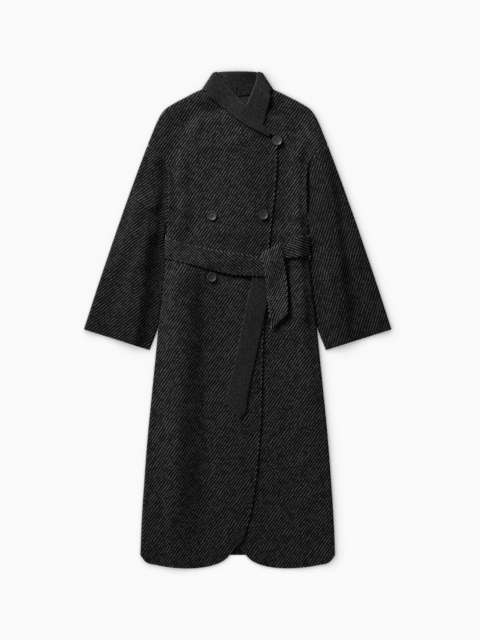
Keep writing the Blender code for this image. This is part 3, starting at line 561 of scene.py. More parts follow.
@dataclass(frozen=True)
class WoolTwill:
    """Face of the double cloth: thick light grey yarn floating in slanting ribs over black wool, brushed and matt.

    The eye sees pale broken slanting lines on black, with brighter dashes where the yarn turns over a cut edge.
    """

    name: str = "Brushed wool twill"
    black: str = "#040404"
    hair: str = "#0E0E0E"
    grey: str = "#555557"
    edge_grey: str = "#858587"
    angle_deg: float = 55.0
    rib_mm: float = 6.3
    float_mm: float = 5.2
    rib_share: float = 0.28
    float_share: float = 0.56
    lean: float = 0.55
    fray: float = 1.1
    yarn_fade: tuple[float, float] = (1.75, 0.65)
    slub: tuple[float, float] = (0.62, 1.15)
    spark: tuple[float, float] = (0.34, 1.34)
    edge_fade: tuple[float, float] = (0.15, 0.75)
    fibre_relief: float = 0.35
    fibre_mm: float = 0.9
    wander_mm: float = 34.0
    relief_mm: float = 0.45
    roughness: float = 0.92
    sheen: float = 0.02

    def build(self) -> bpy.types.Material:
        """The material, on the map that follows the grain."""
        made, tree, shader = blank_material(self.name)
        grain = add_node(tree, "ShaderNodeUVMap", {}, uv_map="Grain")
        turned = add_node(tree, "ShaderNodeMapping", {
            "Vector": grain.outputs[0], "Rotation": (0.0, 0.0, -math.radians(self.angle_deg))})
        part = add_node(tree, "ShaderNodeSeparateXYZ", {0: turned.outputs[0]})
        wander = add_node(tree, "ShaderNodeTexNoise", {
            "Vector": grain.outputs[0], "Scale": 1000 / self.wander_mm, "Detail": 2.0})
        fibre = add_node(tree, "ShaderNodeTexNoise", {
            "Vector": grain.outputs[0], "Scale": 1000 / self.fibre_mm, "Detail": 3.0, "Roughness": 0.65})
        slub = add_node(tree, "ShaderNodeTexNoise", {
            "Vector": grain.outputs[0], "Scale": 1000 / (2.2 * self.rib_mm), "Detail": 2.0})
        ribs = add_node(tree, "ShaderNodeMath", {
            0: part.outputs[1], 1: 1000 / self.rib_mm, 2: wander.outputs[0]}, operation="MULTIPLY_ADD")
        number = add_node(tree, "ShaderNodeMath", {0: ribs.outputs[0]}, operation="FLOOR")
        local = add_node(tree, "ShaderNodeMath", {0: ribs.outputs[0]}, operation="FRACT")
        across = add_node(tree, "ShaderNodeMath", {0: local.outputs[0], 1: 0.5}, operation="SUBTRACT")
        chance = add_node(tree, "ShaderNodeTexWhiteNoise", {"W": number.outputs[0]}, noise_dimensions="1D")
        slant = add_node(tree, "ShaderNodeMath", {
            0: across.outputs[0], 1: self.lean, 2: chance.outputs[0]}, operation="MULTIPLY_ADD")
        floats = add_node(tree, "ShaderNodeMath", {
            0: part.outputs[0], 1: 1000 / self.float_mm, 2: slant.outputs[0]}, operation="MULTIPLY_ADD")
        place = add_node(tree, "ShaderNodeMath", {0: floats.outputs[0]}, operation="FRACT")
        middle = add_node(tree, "ShaderNodeMath", {0: place.outputs[0], 1: 0.5}, operation="SUBTRACT")
        wide = add_node(tree, "ShaderNodeMath", {0: across.outputs[0], 1: 1 / self.rib_share}, operation="MULTIPLY")
        long = add_node(tree, "ShaderNodeMath", {0: middle.outputs[0], 1: 1 / self.float_share}, operation="MULTIPLY")
        wide2 = add_node(tree, "ShaderNodeMath", {0: wide.outputs[0], 1: 2.0}, operation="POWER")
        long2 = add_node(tree, "ShaderNodeMath", {0: long.outputs[0], 1: 2.0}, operation="POWER")
        oval = add_node(tree, "ShaderNodeMath", {0: wide2.outputs[0], 1: long2.outputs[0]}, operation="ADD")
        rough = add_node(tree, "ShaderNodeMath", {
            0: fibre.outputs[0], 1: self.fray, 2: oval.outputs[0]}, operation="MULTIPLY_ADD")
        yarn = add_node(tree, "ShaderNodeMapRange", {
            "Value": rough.outputs[0], "From Min": self.yarn_fade[0], "From Max": self.yarn_fade[1]},
            interpolation_type="SMOOTHSTEP")
        slubbed = add_node(tree, "ShaderNodeMapRange", {
            "Value": slub.outputs[0], "From Min": 0.3, "From Max": 0.7, "To Min": self.slub[0],
            "To Max": self.slub[1]})
        turn = add_node(tree, "ShaderNodeMath", {0: floats.outputs[0]}, operation="FLOOR")
        cell = add_node(tree, "ShaderNodeCombineXYZ", {0: number.outputs[0], 1: turn.outputs[0]})
        luck = add_node(tree, "ShaderNodeTexWhiteNoise", {"Vector": cell.outputs[0]}, noise_dimensions="2D")
        spark = add_node(tree, "ShaderNodeMapRange", {
            "Value": luck.outputs["Value"], "To Min": self.spark[0], "To Max": self.spark[1]})
        lit = add_node(tree, "ShaderNodeMath", {0: yarn.outputs[0], 1: spark.outputs[0]}, operation="MULTIPLY")
        amount = add_node(tree, "ShaderNodeMath", {
            0: lit.outputs[0], 1: slubbed.outputs[0]}, operation="MULTIPLY", use_clamp=True)
        edge = add_node(tree, "ShaderNodeAttribute", {}, attribute_name="edge")
        near_edge = add_node(tree, "ShaderNodeMapRange", {
            "Value": edge.outputs["Fac"], "From Min": self.edge_fade[0], "From Max": self.edge_fade[1]})
        pale = add_node(tree, "ShaderNodeMix", {
            0: near_edge.outputs[0], 6: linear(self.grey), 7: linear(self.edge_grey)}, data_type="RGBA")
        dark = add_node(tree, "ShaderNodeMix", {
            0: fibre.outputs[0], 6: linear(self.black), 7: linear(self.hair)}, data_type="RGBA")
        colour = add_node(tree, "ShaderNodeMix", {
            0: amount.outputs[0], 6: dark.outputs[2], 7: pale.outputs[2]}, data_type="RGBA")
        height = add_node(tree, "ShaderNodeMath", {
            0: fibre.outputs[0], 1: self.fibre_relief, 2: amount.outputs[0]}, operation="MULTIPLY_ADD")
        relief = add_node(tree, "ShaderNodeBump", {
            "Height": height.outputs[0], "Strength": 0.7, "Distance": self.relief_mm / 1000})
        set_woollen(shader, self.roughness, self.sheen)
        tree.links.new(colour.outputs[2], shader.inputs["Base Color"])
        tree.links.new(relief.outputs[0], shader.inputs["Normal"])
        return made


@dataclass(frozen=True)
class WoolFelt:
    """Reverse of the double cloth: grey and black wool milled to a plain felt, with no line left in it.

    The eye sees an even charcoal with a fine pepper of lighter hairs and soft cloudy patches. Along a roll line
    or a cut edge, where the map's first place is 0, it is painted paler: a painted highlight of the roll catching
    light.
    """

    dark: str = "#0A0A0A"
    light: str = "#303032"
    hair: str = "#4A4A4C"
    # Colour, width and strength of the painted highlight along the roll line
    roll_highlight: str = "#5E5E60"
    roll_highlight_mm: float = 3.2
    roll_highlight_share: float = 0.42
    hair_mm: float = 4.2
    cloud_mm: float = 8.0
    relief_mm: float = 0.25
    roughness: float = 0.95
    sheen: float = 0.02

    def build(self) -> bpy.types.Material:
        """The material, on the map that follows the grain."""
        made, tree, shader = blank_material("Milled wool felt")
        grain = add_node(tree, "ShaderNodeUVMap", {}, uv_map="Grain")
        cloud = add_node(tree, "ShaderNodeTexNoise", {
            "Vector": grain.outputs[0], "Scale": 1000 / self.cloud_mm, "Detail": 4.0, "Roughness": 0.8})
        hair = add_node(tree, "ShaderNodeTexNoise", {
            "Vector": grain.outputs[0], "Scale": 1000 / self.hair_mm, "Detail": 4.0, "Roughness": 0.75})
        body = add_node(tree, "ShaderNodeMapRange", {"Value": cloud.outputs[0], "From Min": 0.3, "From Max": 0.7})
        fleck = add_node(tree, "ShaderNodeMapRange", {"Value": hair.outputs[0], "From Min": 0.5, "From Max": 0.78})
        base = add_node(tree, "ShaderNodeMix", {
            0: body.outputs[0], 6: linear(self.dark), 7: linear(self.light)}, data_type="RGBA")
        colour = add_node(tree, "ShaderNodeMix", {
            0: fleck.outputs[0], 6: base.outputs[2], 7: linear(self.hair)}, data_type="RGBA")
        # Painted highlight: paler felt where the map's first place is near 0, which on the collar is its roll line
        places = add_node(tree, "ShaderNodeSeparateXYZ", {0: grain.outputs[0]})
        away = add_node(tree, "ShaderNodeMath", {0: places.outputs[0]}, operation="ABSOLUTE")
        line = add_node(tree, "ShaderNodeMapRange", {
            "Value": away.outputs[0], "From Min": 0.0, "From Max": self.roll_highlight_mm / 1000, "To Min": self.roll_highlight_share,
            "To Max": 0.0})
        colour = add_node(tree, "ShaderNodeMix", {
            0: line.outputs[0], 6: colour.outputs[2], 7: linear(self.roll_highlight)}, data_type="RGBA")
        relief = add_node(tree, "ShaderNodeBump", {
            "Height": hair.outputs[0], "Strength": 0.6, "Distance": self.relief_mm / 1000})
        set_woollen(shader, self.roughness, self.sheen)
        tree.links.new(colour.outputs[2], shader.inputs["Base Color"])
        tree.links.new(relief.outputs[0], shader.inputs["Normal"])
        return made


@dataclass(frozen=True)
class Horn:
    """Dark horn-like resin, turned and half polished: cloudy charcoal with a soft shine on the rim."""

    dark: str = "#252526"
    light: str = "#525255"
    cloud_mm: float = 6.0
    roughness: float = 0.42
    shine: float = 0.30
    ior: float = 1.54

    def build(self) -> bpy.types.Material:
        """The material, in the frame's own coordinates."""
        made, tree, shader = blank_material("Polished dark horn")
        at = add_node(tree, "ShaderNodeTexCoord", {})
        cloud = add_node(tree, "ShaderNodeTexNoise", {
            "Vector": at.outputs["Object"], "Scale": 1000 / self.cloud_mm, "Detail": 4.0, "Distortion": 1.2})
        colour = add_node(tree, "ShaderNodeMix", {
            0: cloud.outputs[0], 6: linear(self.dark), 7: linear(self.light)}, data_type="RGBA")
        tree.links.new(colour.outputs[2], shader.inputs["Base Color"])
        shader.inputs["Roughness"].default_value = self.roughness
        shader.inputs["Specular IOR Level"].default_value = self.shine
        shader.inputs["IOR"].default_value = self.ior
        return made


@dataclass(frozen=True)
class Thread:
    """Black waxed sewing thread: dull, with a fine twist across it."""

    colour: str = "#161617"
    light: str = "#2C2C2E"
    twist_mm: float = 0.5
    roughness: float = 0.7

    def build(self) -> bpy.types.Material:
        """The material, in the frame's own coordinates."""
        made, tree, shader = blank_material("Waxed black thread")
        at = add_node(tree, "ShaderNodeTexCoord", {})
        twist = add_node(tree, "ShaderNodeTexWave", {
            "Vector": at.outputs["Object"], "Scale": 1000 / self.twist_mm / 20, "Distortion": 2.0},
            bands_direction="DIAGONAL")
        colour = add_node(tree, "ShaderNodeMix", {
            0: twist.outputs["Fac"], 6: linear(self.colour), 7: linear(self.light)}, data_type="RGBA")
        tree.links.new(colour.outputs[2], shader.inputs["Base Color"])
        shader.inputs["Roughness"].default_value = self.roughness
        return made


@dataclass(frozen=True)
class Paper:
    """Matt white studio paper under the coat."""

    colour: str = "#F7F7F7"
    roughness: float = 1.0

    def build(self) -> bpy.types.Material:
        """The material."""
        made, _, shader = blank_material("White studio paper")
        shader.inputs["Base Color"].default_value = linear(self.colour)
        shader.inputs["Roughness"].default_value = self.roughness
        shader.inputs["Specular IOR Level"].default_value = 0.0
        return made


# Names of a darker and a lighter copy of the same twill: painted shade on the sleeves, painted light on the short
# belt end
SHADED_TWILL_NAME, LIT_TWILL_NAME = "Brushed wool twill, painted shade", "Brushed wool twill, painted light"


@dataclass
class Finishes:
    """The coat's materials, made once."""

    twill: bpy.types.Material = field(default_factory=lambda: WoolTwill().build())
    # The darker grey on the sleeves is painted shade; the lighter grey on the short belt end is painted light
    arm_twill_painted_shade: bpy.types.Material = field(default_factory=lambda: WoolTwill(SHADED_TWILL_NAME, grey="#4A4A4C").build())
    end_twill_painted_light: bpy.types.Material = field(default_factory=lambda: WoolTwill(LIT_TWILL_NAME, grey="#707073").build())
    felt: bpy.types.Material = field(default_factory=lambda: WoolFelt().build())
    horn: bpy.types.Material = field(default_factory=lambda: Horn().build())
    thread: bpy.types.Material = field(default_factory=lambda: Thread().build())
    paper: bpy.types.Material = field(default_factory=lambda: Paper().build())


class Facing(Enum):
    """Which way the outer face of a sheet looks where it is measured."""

    UP = 1
    DOWN = -1


@dataclass
class Sheet:
    """A cut of cloth as a thin shell round a grid of points, with rounded edges and a map that follows its grain."""

    name: str
    grid: Array
    grain: Array
    outer: bpy.types.Material
    inner: bpy.types.Material
    ring: bool = False
    facing: Facing = Facing.UP
    look_at: slice = field(default_factory=lambda: slice(None))
    bulge: tuple[float, float, float, float] = (0.0, 0.0, 0.0, 0.0)
    cut: Array | None = None
    cloth: float = Lay.cloth
    edge_band: float = 0.0036
    edge_strength: float = 0.42
    rim_angles: tuple[float, ...] = (45.0, 90.0, 135.0)

    def normals(self) -> Array:
        """Unit normals of the grid, towards the cloth's outer face."""
        down = np.gradient(self.grid, axis=0)
        if self.ring:
            across = np.roll(self.grid, -1, axis=1) - np.roll(self.grid, 1, axis=1)
        else:
            across = np.gradient(self.grid, axis=1)
        made = np.cross(down, across)
        made /= np.maximum(np.linalg.norm(made, axis=-1, keepdims=True), 1e-12)
        if made[:, self.look_at, 2].mean() * self.facing.value < 0.0:
            made = -made
        return made

    def edges(self) -> list[tuple[Array, Array, Array, float]]:
        """Boundary runs of the grid: indices, the indices next in from them, columns of the map, and the bulge."""
        rows, columns = self.grid.shape[:2]
        index = np.arange(rows * columns).reshape(rows, columns)
        head, foot, start, end = self.bulge
        if self.ring:
            turn = np.append(np.arange(columns), 0)
            return [(index[0, turn], index[1, turn], np.arange(columns + 1), head),
                    (index[-1, turn], index[-2, turn], np.arange(columns + 1), foot)]
        across = np.arange(columns)
        return [(index[0], index[1], across, head), (index[-1], index[-2], across, foot),
                (index[:, 0], index[:, 1], np.zeros(rows, int), start),
                (index[:, -1], index[:, -2], np.full(rows, columns - 1), end)]

    def edge_share(self) -> Array:
        """How far the yarn shows its turn: most on a free edge, none from the edge band inwards."""
        rows, columns = self.grid.shape[:2]
        away = np.full((rows, columns), np.inf)
        down = np.linalg.norm(np.diff(self.grid, axis=0), axis=-1)
        across = np.linalg.norm(np.diff(self.grid, axis=1), axis=-1)
        head, foot, start, end = self.bulge
        if head:
            away = np.minimum(away, np.vstack([np.zeros(columns), np.cumsum(down, axis=0)]))
        if foot:
            away = np.minimum(away, np.vstack([np.cumsum(down[::-1], axis=0)[::-1], np.zeros(columns)]))
        if start:
            away = np.minimum(away, np.hstack([np.zeros((rows, 1)), np.cumsum(across, axis=1)]))
        if end:
            away = np.minimum(away, np.hstack([np.cumsum(across[:, ::-1], axis=1)[:, ::-1], np.zeros((rows, 1))]))
        return np.clip(1.0 - away / self.edge_band, 0.0, 1.0) * self.edge_strength

    def build(self, node: str, slot: str, rests_on: list[str]) -> bpy.types.Object:
        """Args:
            node: The CAD node that it stands for.
            slot: The record's material slot. Not used.
            rests_on: Names of what it lies on. Not used.

        Returns:
            The piece.
        """
        rows, columns = self.grid.shape[:2]
        count = rows * columns
        normal = self.normals()
        middle, normal = self.grid.reshape(-1, 3), normal.reshape(-1, 3)
        points = [middle + normal * self.cloth / 2, middle - normal * self.cloth / 2]
        share = self.edge_share().ravel()
        shares = [share, share]
        faces, maps, slots = [], [], []
        first = np.cross(self.grid[1, 0] - self.grid[0, 0], self.grid[0, 1] - self.grid[0, 0])
        ahead = float(np.dot(first, normal[0])) > 0.0
        grain = self.grain
        for i in range(rows - 1):
            for j in range(columns - (not self.ring)):
                k = (j + 1) % columns
                ring = [i * columns + j, (i + 1) * columns + j, (i + 1) * columns + k, i * columns + k]
                place = [grain[i, j], grain[i + 1, j], grain[i + 1, j + 1], grain[i, j + 1]]
                over, under = (1, -1) if ahead else (-1, 1)
                faces.append(ring[::over])
                maps.append(place[::over])
                slots.append(0)
                faces.append([count + v for v in ring][::under])
                maps.append(place[::under])
                slots.append(1)
        total = 2 * count
        for run, inside, map_columns, bulge in self.edges():
            outward = middle[run] - middle[inside]
            outward -= normal[run] * (outward * normal[run]).sum(axis=1)[:, None]
            outward /= np.maximum(np.linalg.norm(outward, axis=1), 1e-12)[:, None]
            rings = [run]
            angles = self.rim_angles if bulge else ()
            for angle in np.radians(angles):
                points.append(middle[run] + normal[run] * self.cloth / 2 * np.cos(angle)
                              + outward * bulge * np.sin(angle))
                shares.append(np.full(len(run), self.edge_strength))
                rings.append(total + np.arange(len(run)))
                total += len(run)
            rings.append(count + run)
            map_rows = run // columns
            edge_map = grain[map_rows, map_columns]
            lead = np.cross(middle[run[1]] - middle[run[0]], outward[0])
            turn = 1 if float(np.dot(lead, normal[run[0]])) > 0.0 else -1
            for upper, lower in zip(rings[:-1], rings[1:]):
                for a in range(len(run) - 1):
                    quad = [upper[a], lower[a], lower[a + 1], upper[a + 1]]
                    place = [edge_map[a], edge_map[a], edge_map[a + 1], edge_map[a + 1]]
                    faces.append(quad[::-turn])
                    maps.append(place[::-turn])
                    slots.append(0)
        mesh = bpy.data.meshes.new(self.name)
        mesh.from_pydata(np.concatenate(points).tolist(), [], [list(map(int, f)) for f in faces])
        layer = mesh.uv_layers.new(name="Grain")
        layer.data.foreach_set("uv", np.concatenate([np.ravel(m) for m in maps]))
        mesh.polygons.foreach_set("material_index", slots)
        mesh.polygons.foreach_set("use_smooth", [True] * len(faces))
        edge = mesh.attributes.new("edge", "FLOAT", "POINT")
        edge.data.foreach_set("value", np.concatenate(shares))
        for finish in (self.outer, self.inner):
            mesh.materials.append(finish)
        mesh.validate()
        mesh.update()
        made = bpy.data.objects.new(self.name, mesh)
        bpy.context.scene.collection.objects.link(made)
        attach(made, "root")
        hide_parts(node)
        return made


def plan_grain(grid: Array, turn_deg: float = 0.0, reference: int = -1) -> Array:
    """Map of a sheet that lies flat: its plan, stretched along each row by the slopes, turned to the grain.

    Args:
        grid: The sheet's points.
        turn_deg: How far the warp leans from +Y, anticlockwise.
        reference: The column that keeps its plan places.

    Returns:
        Places across and along the grain, in metres.
    """
    plan = grid[..., :2]
    step = np.diff(grid, axis=1)
    flat = np.maximum(np.linalg.norm(step[..., :2], axis=-1), 1e-6)
    stretched = step[..., :2] * np.minimum(np.sqrt(1.0 + (step[..., 2] / flat) ** 2), 8.0)[..., None]
    run = np.concatenate([np.zeros_like(plan[:, :1]), np.cumsum(stretched, axis=1)], axis=1)
    made = run - run[:, [reference]] + plan[:, [reference]]
    c, s = math.cos(math.radians(turn_deg)), math.sin(math.radians(turn_deg))
    return np.stack([made[..., 0] * c + made[..., 1] * s, made[..., 1] * c - made[..., 0] * s], axis=-1)


def patch(start: Array, end: Array, top: Array, bottom: Array, across: Array, down: tuple[Array, Array],
          reach: int) -> Array:
    """Plan points between four edges that share their corners.

    Args:
        start: Edge at the first column.
        end: Edge at the last column.
        top: Edge at the first row.
        bottom: Edge at the last row.
        across: Shares across, for each row.
        down: Shares down the first and the last column.
        reach: How quickly the top and bottom edges' shapes die away inwards.

    Returns:
        The grid of plan points.
    """
    u, v = across[..., None], down[1][:, None, None]
    first, last = along(start, down[0])[:, None], along(end, down[1])[:, None]
    head = along(top, across) - (1 - u) * start[0] - u * end[0]
    foot = along(bottom, across) - (1 - u) * start[-1] - u * end[-1]
    return (1 - u) * first + u * last + (1 - v) ** reach * head + v**reach * foot


def close_at_edge(span: float, steps: Array, cells: int, both_ends: bool = False) -> Array:
    """Shares of a span, close together at a turned edge and even after it."""
    edge = steps / span
    if not both_ends:
        return np.concatenate([edge, np.linspace(edge[-1], 1.0, cells + 1)[1:]])
    return np.concatenate([edge, np.linspace(edge[-1], 1 - edge[-1], cells + 1)[1:-1], 1 - edge[::-1]])


class Rows(NamedTuple):
    """Rows down the side of a panel: how far they reach on its two long edges, and how many."""

    outer_share: float
    edge_share: float
    count: int


@dataclass
class Body:
    """The two fronts and the back."""

    lay: Lay
    finishes: Finishes
    neck_gap: float = 0.0014
    back_neck_gap: float = 0.0001
    arm_gap: float = 0.0005
    span: float = 0.30
    front_cells: int = 74
    back_cells: int = 90
    shoulder_rows: int = 40
    arm_cells: int = 50
    shoulder_edge_share: float = 0.050
    front_band: float = 0.0046
    arm_edge_share: float = 0.215
    arm_span: float = 0.17
    edge_slant: float = 1.3
    arm_reach: float = 0.026
    edge_rows: int = 8
    arm_run: float = 0.25
    reach: int = 5
    free_bulge: float = 0.0010
    side_rows: tuple[Rows, ...] = (Rows(0.30, 0.370, 70), Rows(0.90, 0.880, 110), Rows(1.00, 1.000, 30))

    def edge_steps(self, slant: float) -> Array:
        """Distances in from a turned edge that follow its curve."""
        return (1.0 - np.cos(np.radians(np.linspace(0.0, 90.0, self.edge_rows)))) * self.lay.fold * slant

    def arm_shares(self) -> Array:
        """Shares along the armhole, close at both ends, kept by the front, the back and the sleeve."""
        return close_at_edge(self.arm_span, self.edge_steps(1.0), self.arm_cells, both_ends=True)

    def rows(self) -> tuple[Array, Array, Array]:
        """For each row: share down the outer edge, share down the front edge, share of armhole columns."""
        ends = np.cumsum([chords(line)[-1] for line in (SHOULDER_LINE, ARM_LINE, SIDE_LINE)])
        shoulder, arm = ends[:2] / ends[2]
        down_arm = self.arm_shares()[1:]
        outer = [np.linspace(0.0, shoulder, self.shoulder_rows + 1), shoulder + (arm - shoulder) * down_arm]
        edge = [np.linspace(0.0, self.shoulder_edge_share, self.shoulder_rows + 1),
                self.shoulder_edge_share + (self.arm_edge_share - self.shoulder_edge_share) * down_arm]
        for rows in self.side_rows:
            outer.append(np.linspace(outer[-1][-1], arm + (1.0 - arm) * rows.outer_share, rows.count + 1)[1:])
            edge.append(np.linspace(edge[-1][-1], rows.edge_share, rows.count + 1)[1:])
        outer, edge = np.concatenate(outer), np.concatenate(edge)
        at = (outer - shoulder) / (arm - shoulder)
        return outer, edge, soft(np.minimum(at, 1.0 - at) / self.arm_run)

    def columns(self, span: float, cells: int, at_arm: Array, both_ends: bool = False) -> Array:
        """Columns for each row, close at a turned edge and wider along the armhole, where the cloth lies flat."""
        close = close_at_edge(span, self.edge_steps(self.edge_slant), cells, both_ends)
        wide = close_at_edge(span, np.linspace(0.0, self.arm_reach, self.edge_rows), cells, both_ends)
        return close[None] * (1.0 - at_arm[:, None]) + wide[None] * at_arm[:, None]

    def outer_edge(self) -> Array:
        """Shoulder, armhole and side edge of a body panel, from the neck to the hem."""
        arm = offset(ARM_LINE, -self.arm_gap / 2)
        arm[-1] = UNDERARM
        return np.concatenate([SHOULDER_LINE[:-1], arm[1:], SIDE_LINE[1:]])

    def neckline(self, rolls: tuple[Roll, ...]) -> Array:
        """The front's edge under the collar, from the shoulder to the top button."""
        rows = [np.array(SHOULDER[0]), np.array(TURN_NECK)]
        for r in rolls:
            fall = np.array([r.fall_out, r.fall_y]) - [r.out, r.y]
            rows.append(np.array([r.out, r.y]) + fall * r.stand_share)
        line = offset(through(rows), self.neck_gap)
        line[0] = SHOULDER[0]
        line = np.concatenate([line, [FRONT_EDGE[0]]])
        across = np.linspace(line[0, 0], line[-1, 0], CURVE_POINTS)
        return np.stack([across, np.interp(-across, -line[:, 0], line[:, 1])], axis=1)

    def front(self, side: Side, rolls: tuple[Roll, ...]) -> None:
        """Builds a front, from the shoulder, armhole and side in to its free edge."""
        outer, edge, at_arm = self.rows()
        columns = self.columns(self.span, self.front_cells, at_arm)
        plan = patch(self.outer_edge(), EDGE_LINE, self.neckline(rolls), through(FRONT_HEM), columns, (outer, edge),
                     self.reach)
        x, y = side.value * plan[..., 0], plan[..., 1]
        grid = np.stack([x, y, self.lay.front(x, y, side)], axis=-1)
        name = f"front_{side.name.lower()}"
        under = ["back"] if side is Side.LEFT else ["back", "front_left"]
        Sheet(f"cloth_{name}", grid, plan_grain(grid), self.finishes.twill, self.finishes.felt,
              bulge=(0.0, self.free_bulge, 0.0, self.free_bulge), edge_band=self.front_band,
              edge_strength=1.0).build(name, "wool_twill", under)

    def back(self) -> None:
        """Builds the whole back, lying on the floor, turned up at both sides to meet the fronts."""
        right, mirror = self.outer_edge(), np.array([-1.0, 1.0])
        half = offset(through([SHOULDER[0], TURN_NECK, *BACK_NECK[::-1]]), self.back_neck_gap)
        half[0], half[-1, 0] = SHOULDER[0], 0.0
        top = np.concatenate([half * mirror, half[-2::-1]])
        hem = np.array([mirror * SIDE[-1], np.array(SIDE[-1])])
        down, _, at_arm = self.rows()
        columns = self.columns(2 * self.span, self.back_cells, at_arm, both_ends=True)
        plan = patch(right * mirror, right, top, hem, columns, (down, down), self.reach)
        x, y = plan[..., 0], plan[..., 1]
        grid = np.stack([x, y, self.lay.back(x, y)], axis=-1)
        Sheet("cloth_back", grid, plan_grain(grid, reference=grid.shape[1] // 2), self.finishes.twill,
              self.finishes.felt, facing=Facing.DOWN, bulge=(0.0, self.free_bulge, 0.0, 0.0),
              ).build("back", "wool_twill", ["belt_back", "floor"])

    def build(self) -> None:
        """Builds the three panels."""
        self.back()
        self.front(Side.LEFT, COLLAR_LEFT)
        self.front(Side.RIGHT, COLLAR_RIGHT)


@dataclass
class Sleeves:
    """The two sleeves, each a flat tube with a seam along its inner fold."""

    lay: Lay
    finishes: Finishes
    body: Body
    rows: int = 110
    reach: int = 6
    lean_deg: float = 17.5
    # The sleeve head's rounded rim also takes the paler edge yarn: partly yarn, partly a painted highlight of the
    # seam ridge catching the light
    head_bulge: float = 0.0004
    free_bulge: float = 0.0010

    def sleeve(self, side: Side) -> None:
        """Builds a sleeve: upper sheet, inner fold, lower sheet and outer fold, from the armhole to the cuff."""
        gap, cloth = self.body.arm_gap, self.lay.cloth
        away = self.lay.underarm_ease * np.linalg.norm(ARM_LINE - UNDERARM, axis=1)
        head = offset(ARM_LINE, gap / 2 + cloth * np.clip(1.0 - away / self.lay.fold, 0.0, 1.0))
        outer = SLEEVE_LINE.copy()
        outer[0] = along(SLEEVE_LINE, gap / 2 / chords(SLEEVE_LINE)[-1])
        head[0], head[-1] = outer[0], INNER_LINE[0]
        cuff = np.array([outer[-1], INNER_LINE[-1]])
        down = np.linspace(0.0, 1.0, self.rows + 1)
        columns = np.repeat(self.body.arm_shares()[None], len(down), axis=0)
        plan = patch(outer, INNER_LINE, head, cuff, columns, (down, down), self.reach)
        x, y = side.value * plan[..., 0], plan[..., 1]
        upper, lower = self.lay.sleeve(x, y)
        ends = (upper + lower) / 2
        upper[:, [0, -1]] = ends[:, [0, -1]]
        over = np.stack([x, y, upper], axis=-1)
        under = np.stack([x, y, lower], axis=-1)
        tour = np.concatenate([over[:, ::-1], under[:, 1:]], axis=1)
        lean = side.value * self.lean_deg
        cells = over.shape[1] - 1
        face = plan_grain(tour, lean, reference=cells)
        mirrored = 2 * face[:, [cells], 0] - face[:, cells:, 0]
        grain = face.copy()
        grain[:, cells:, 0] = mirrored
        name = f"sleeve_{side.name.lower()}"
        # The sleeves wear the darker copy of the twill: painted shade
        Sheet(f"cloth_{name}", tour[:, :-1], grain, self.finishes.arm_twill_painted_shade, self.finishes.felt, ring=True,
              look_at=slice(cells // 4, cells // 2), bulge=(self.head_bulge, self.free_bulge, 0.0, 0.0),
              ).build(name, "wool_twill", ["floor"])

    def build(self) -> None:
        """Builds both sleeves."""
        for side in Side:
            self.sleeve(side)


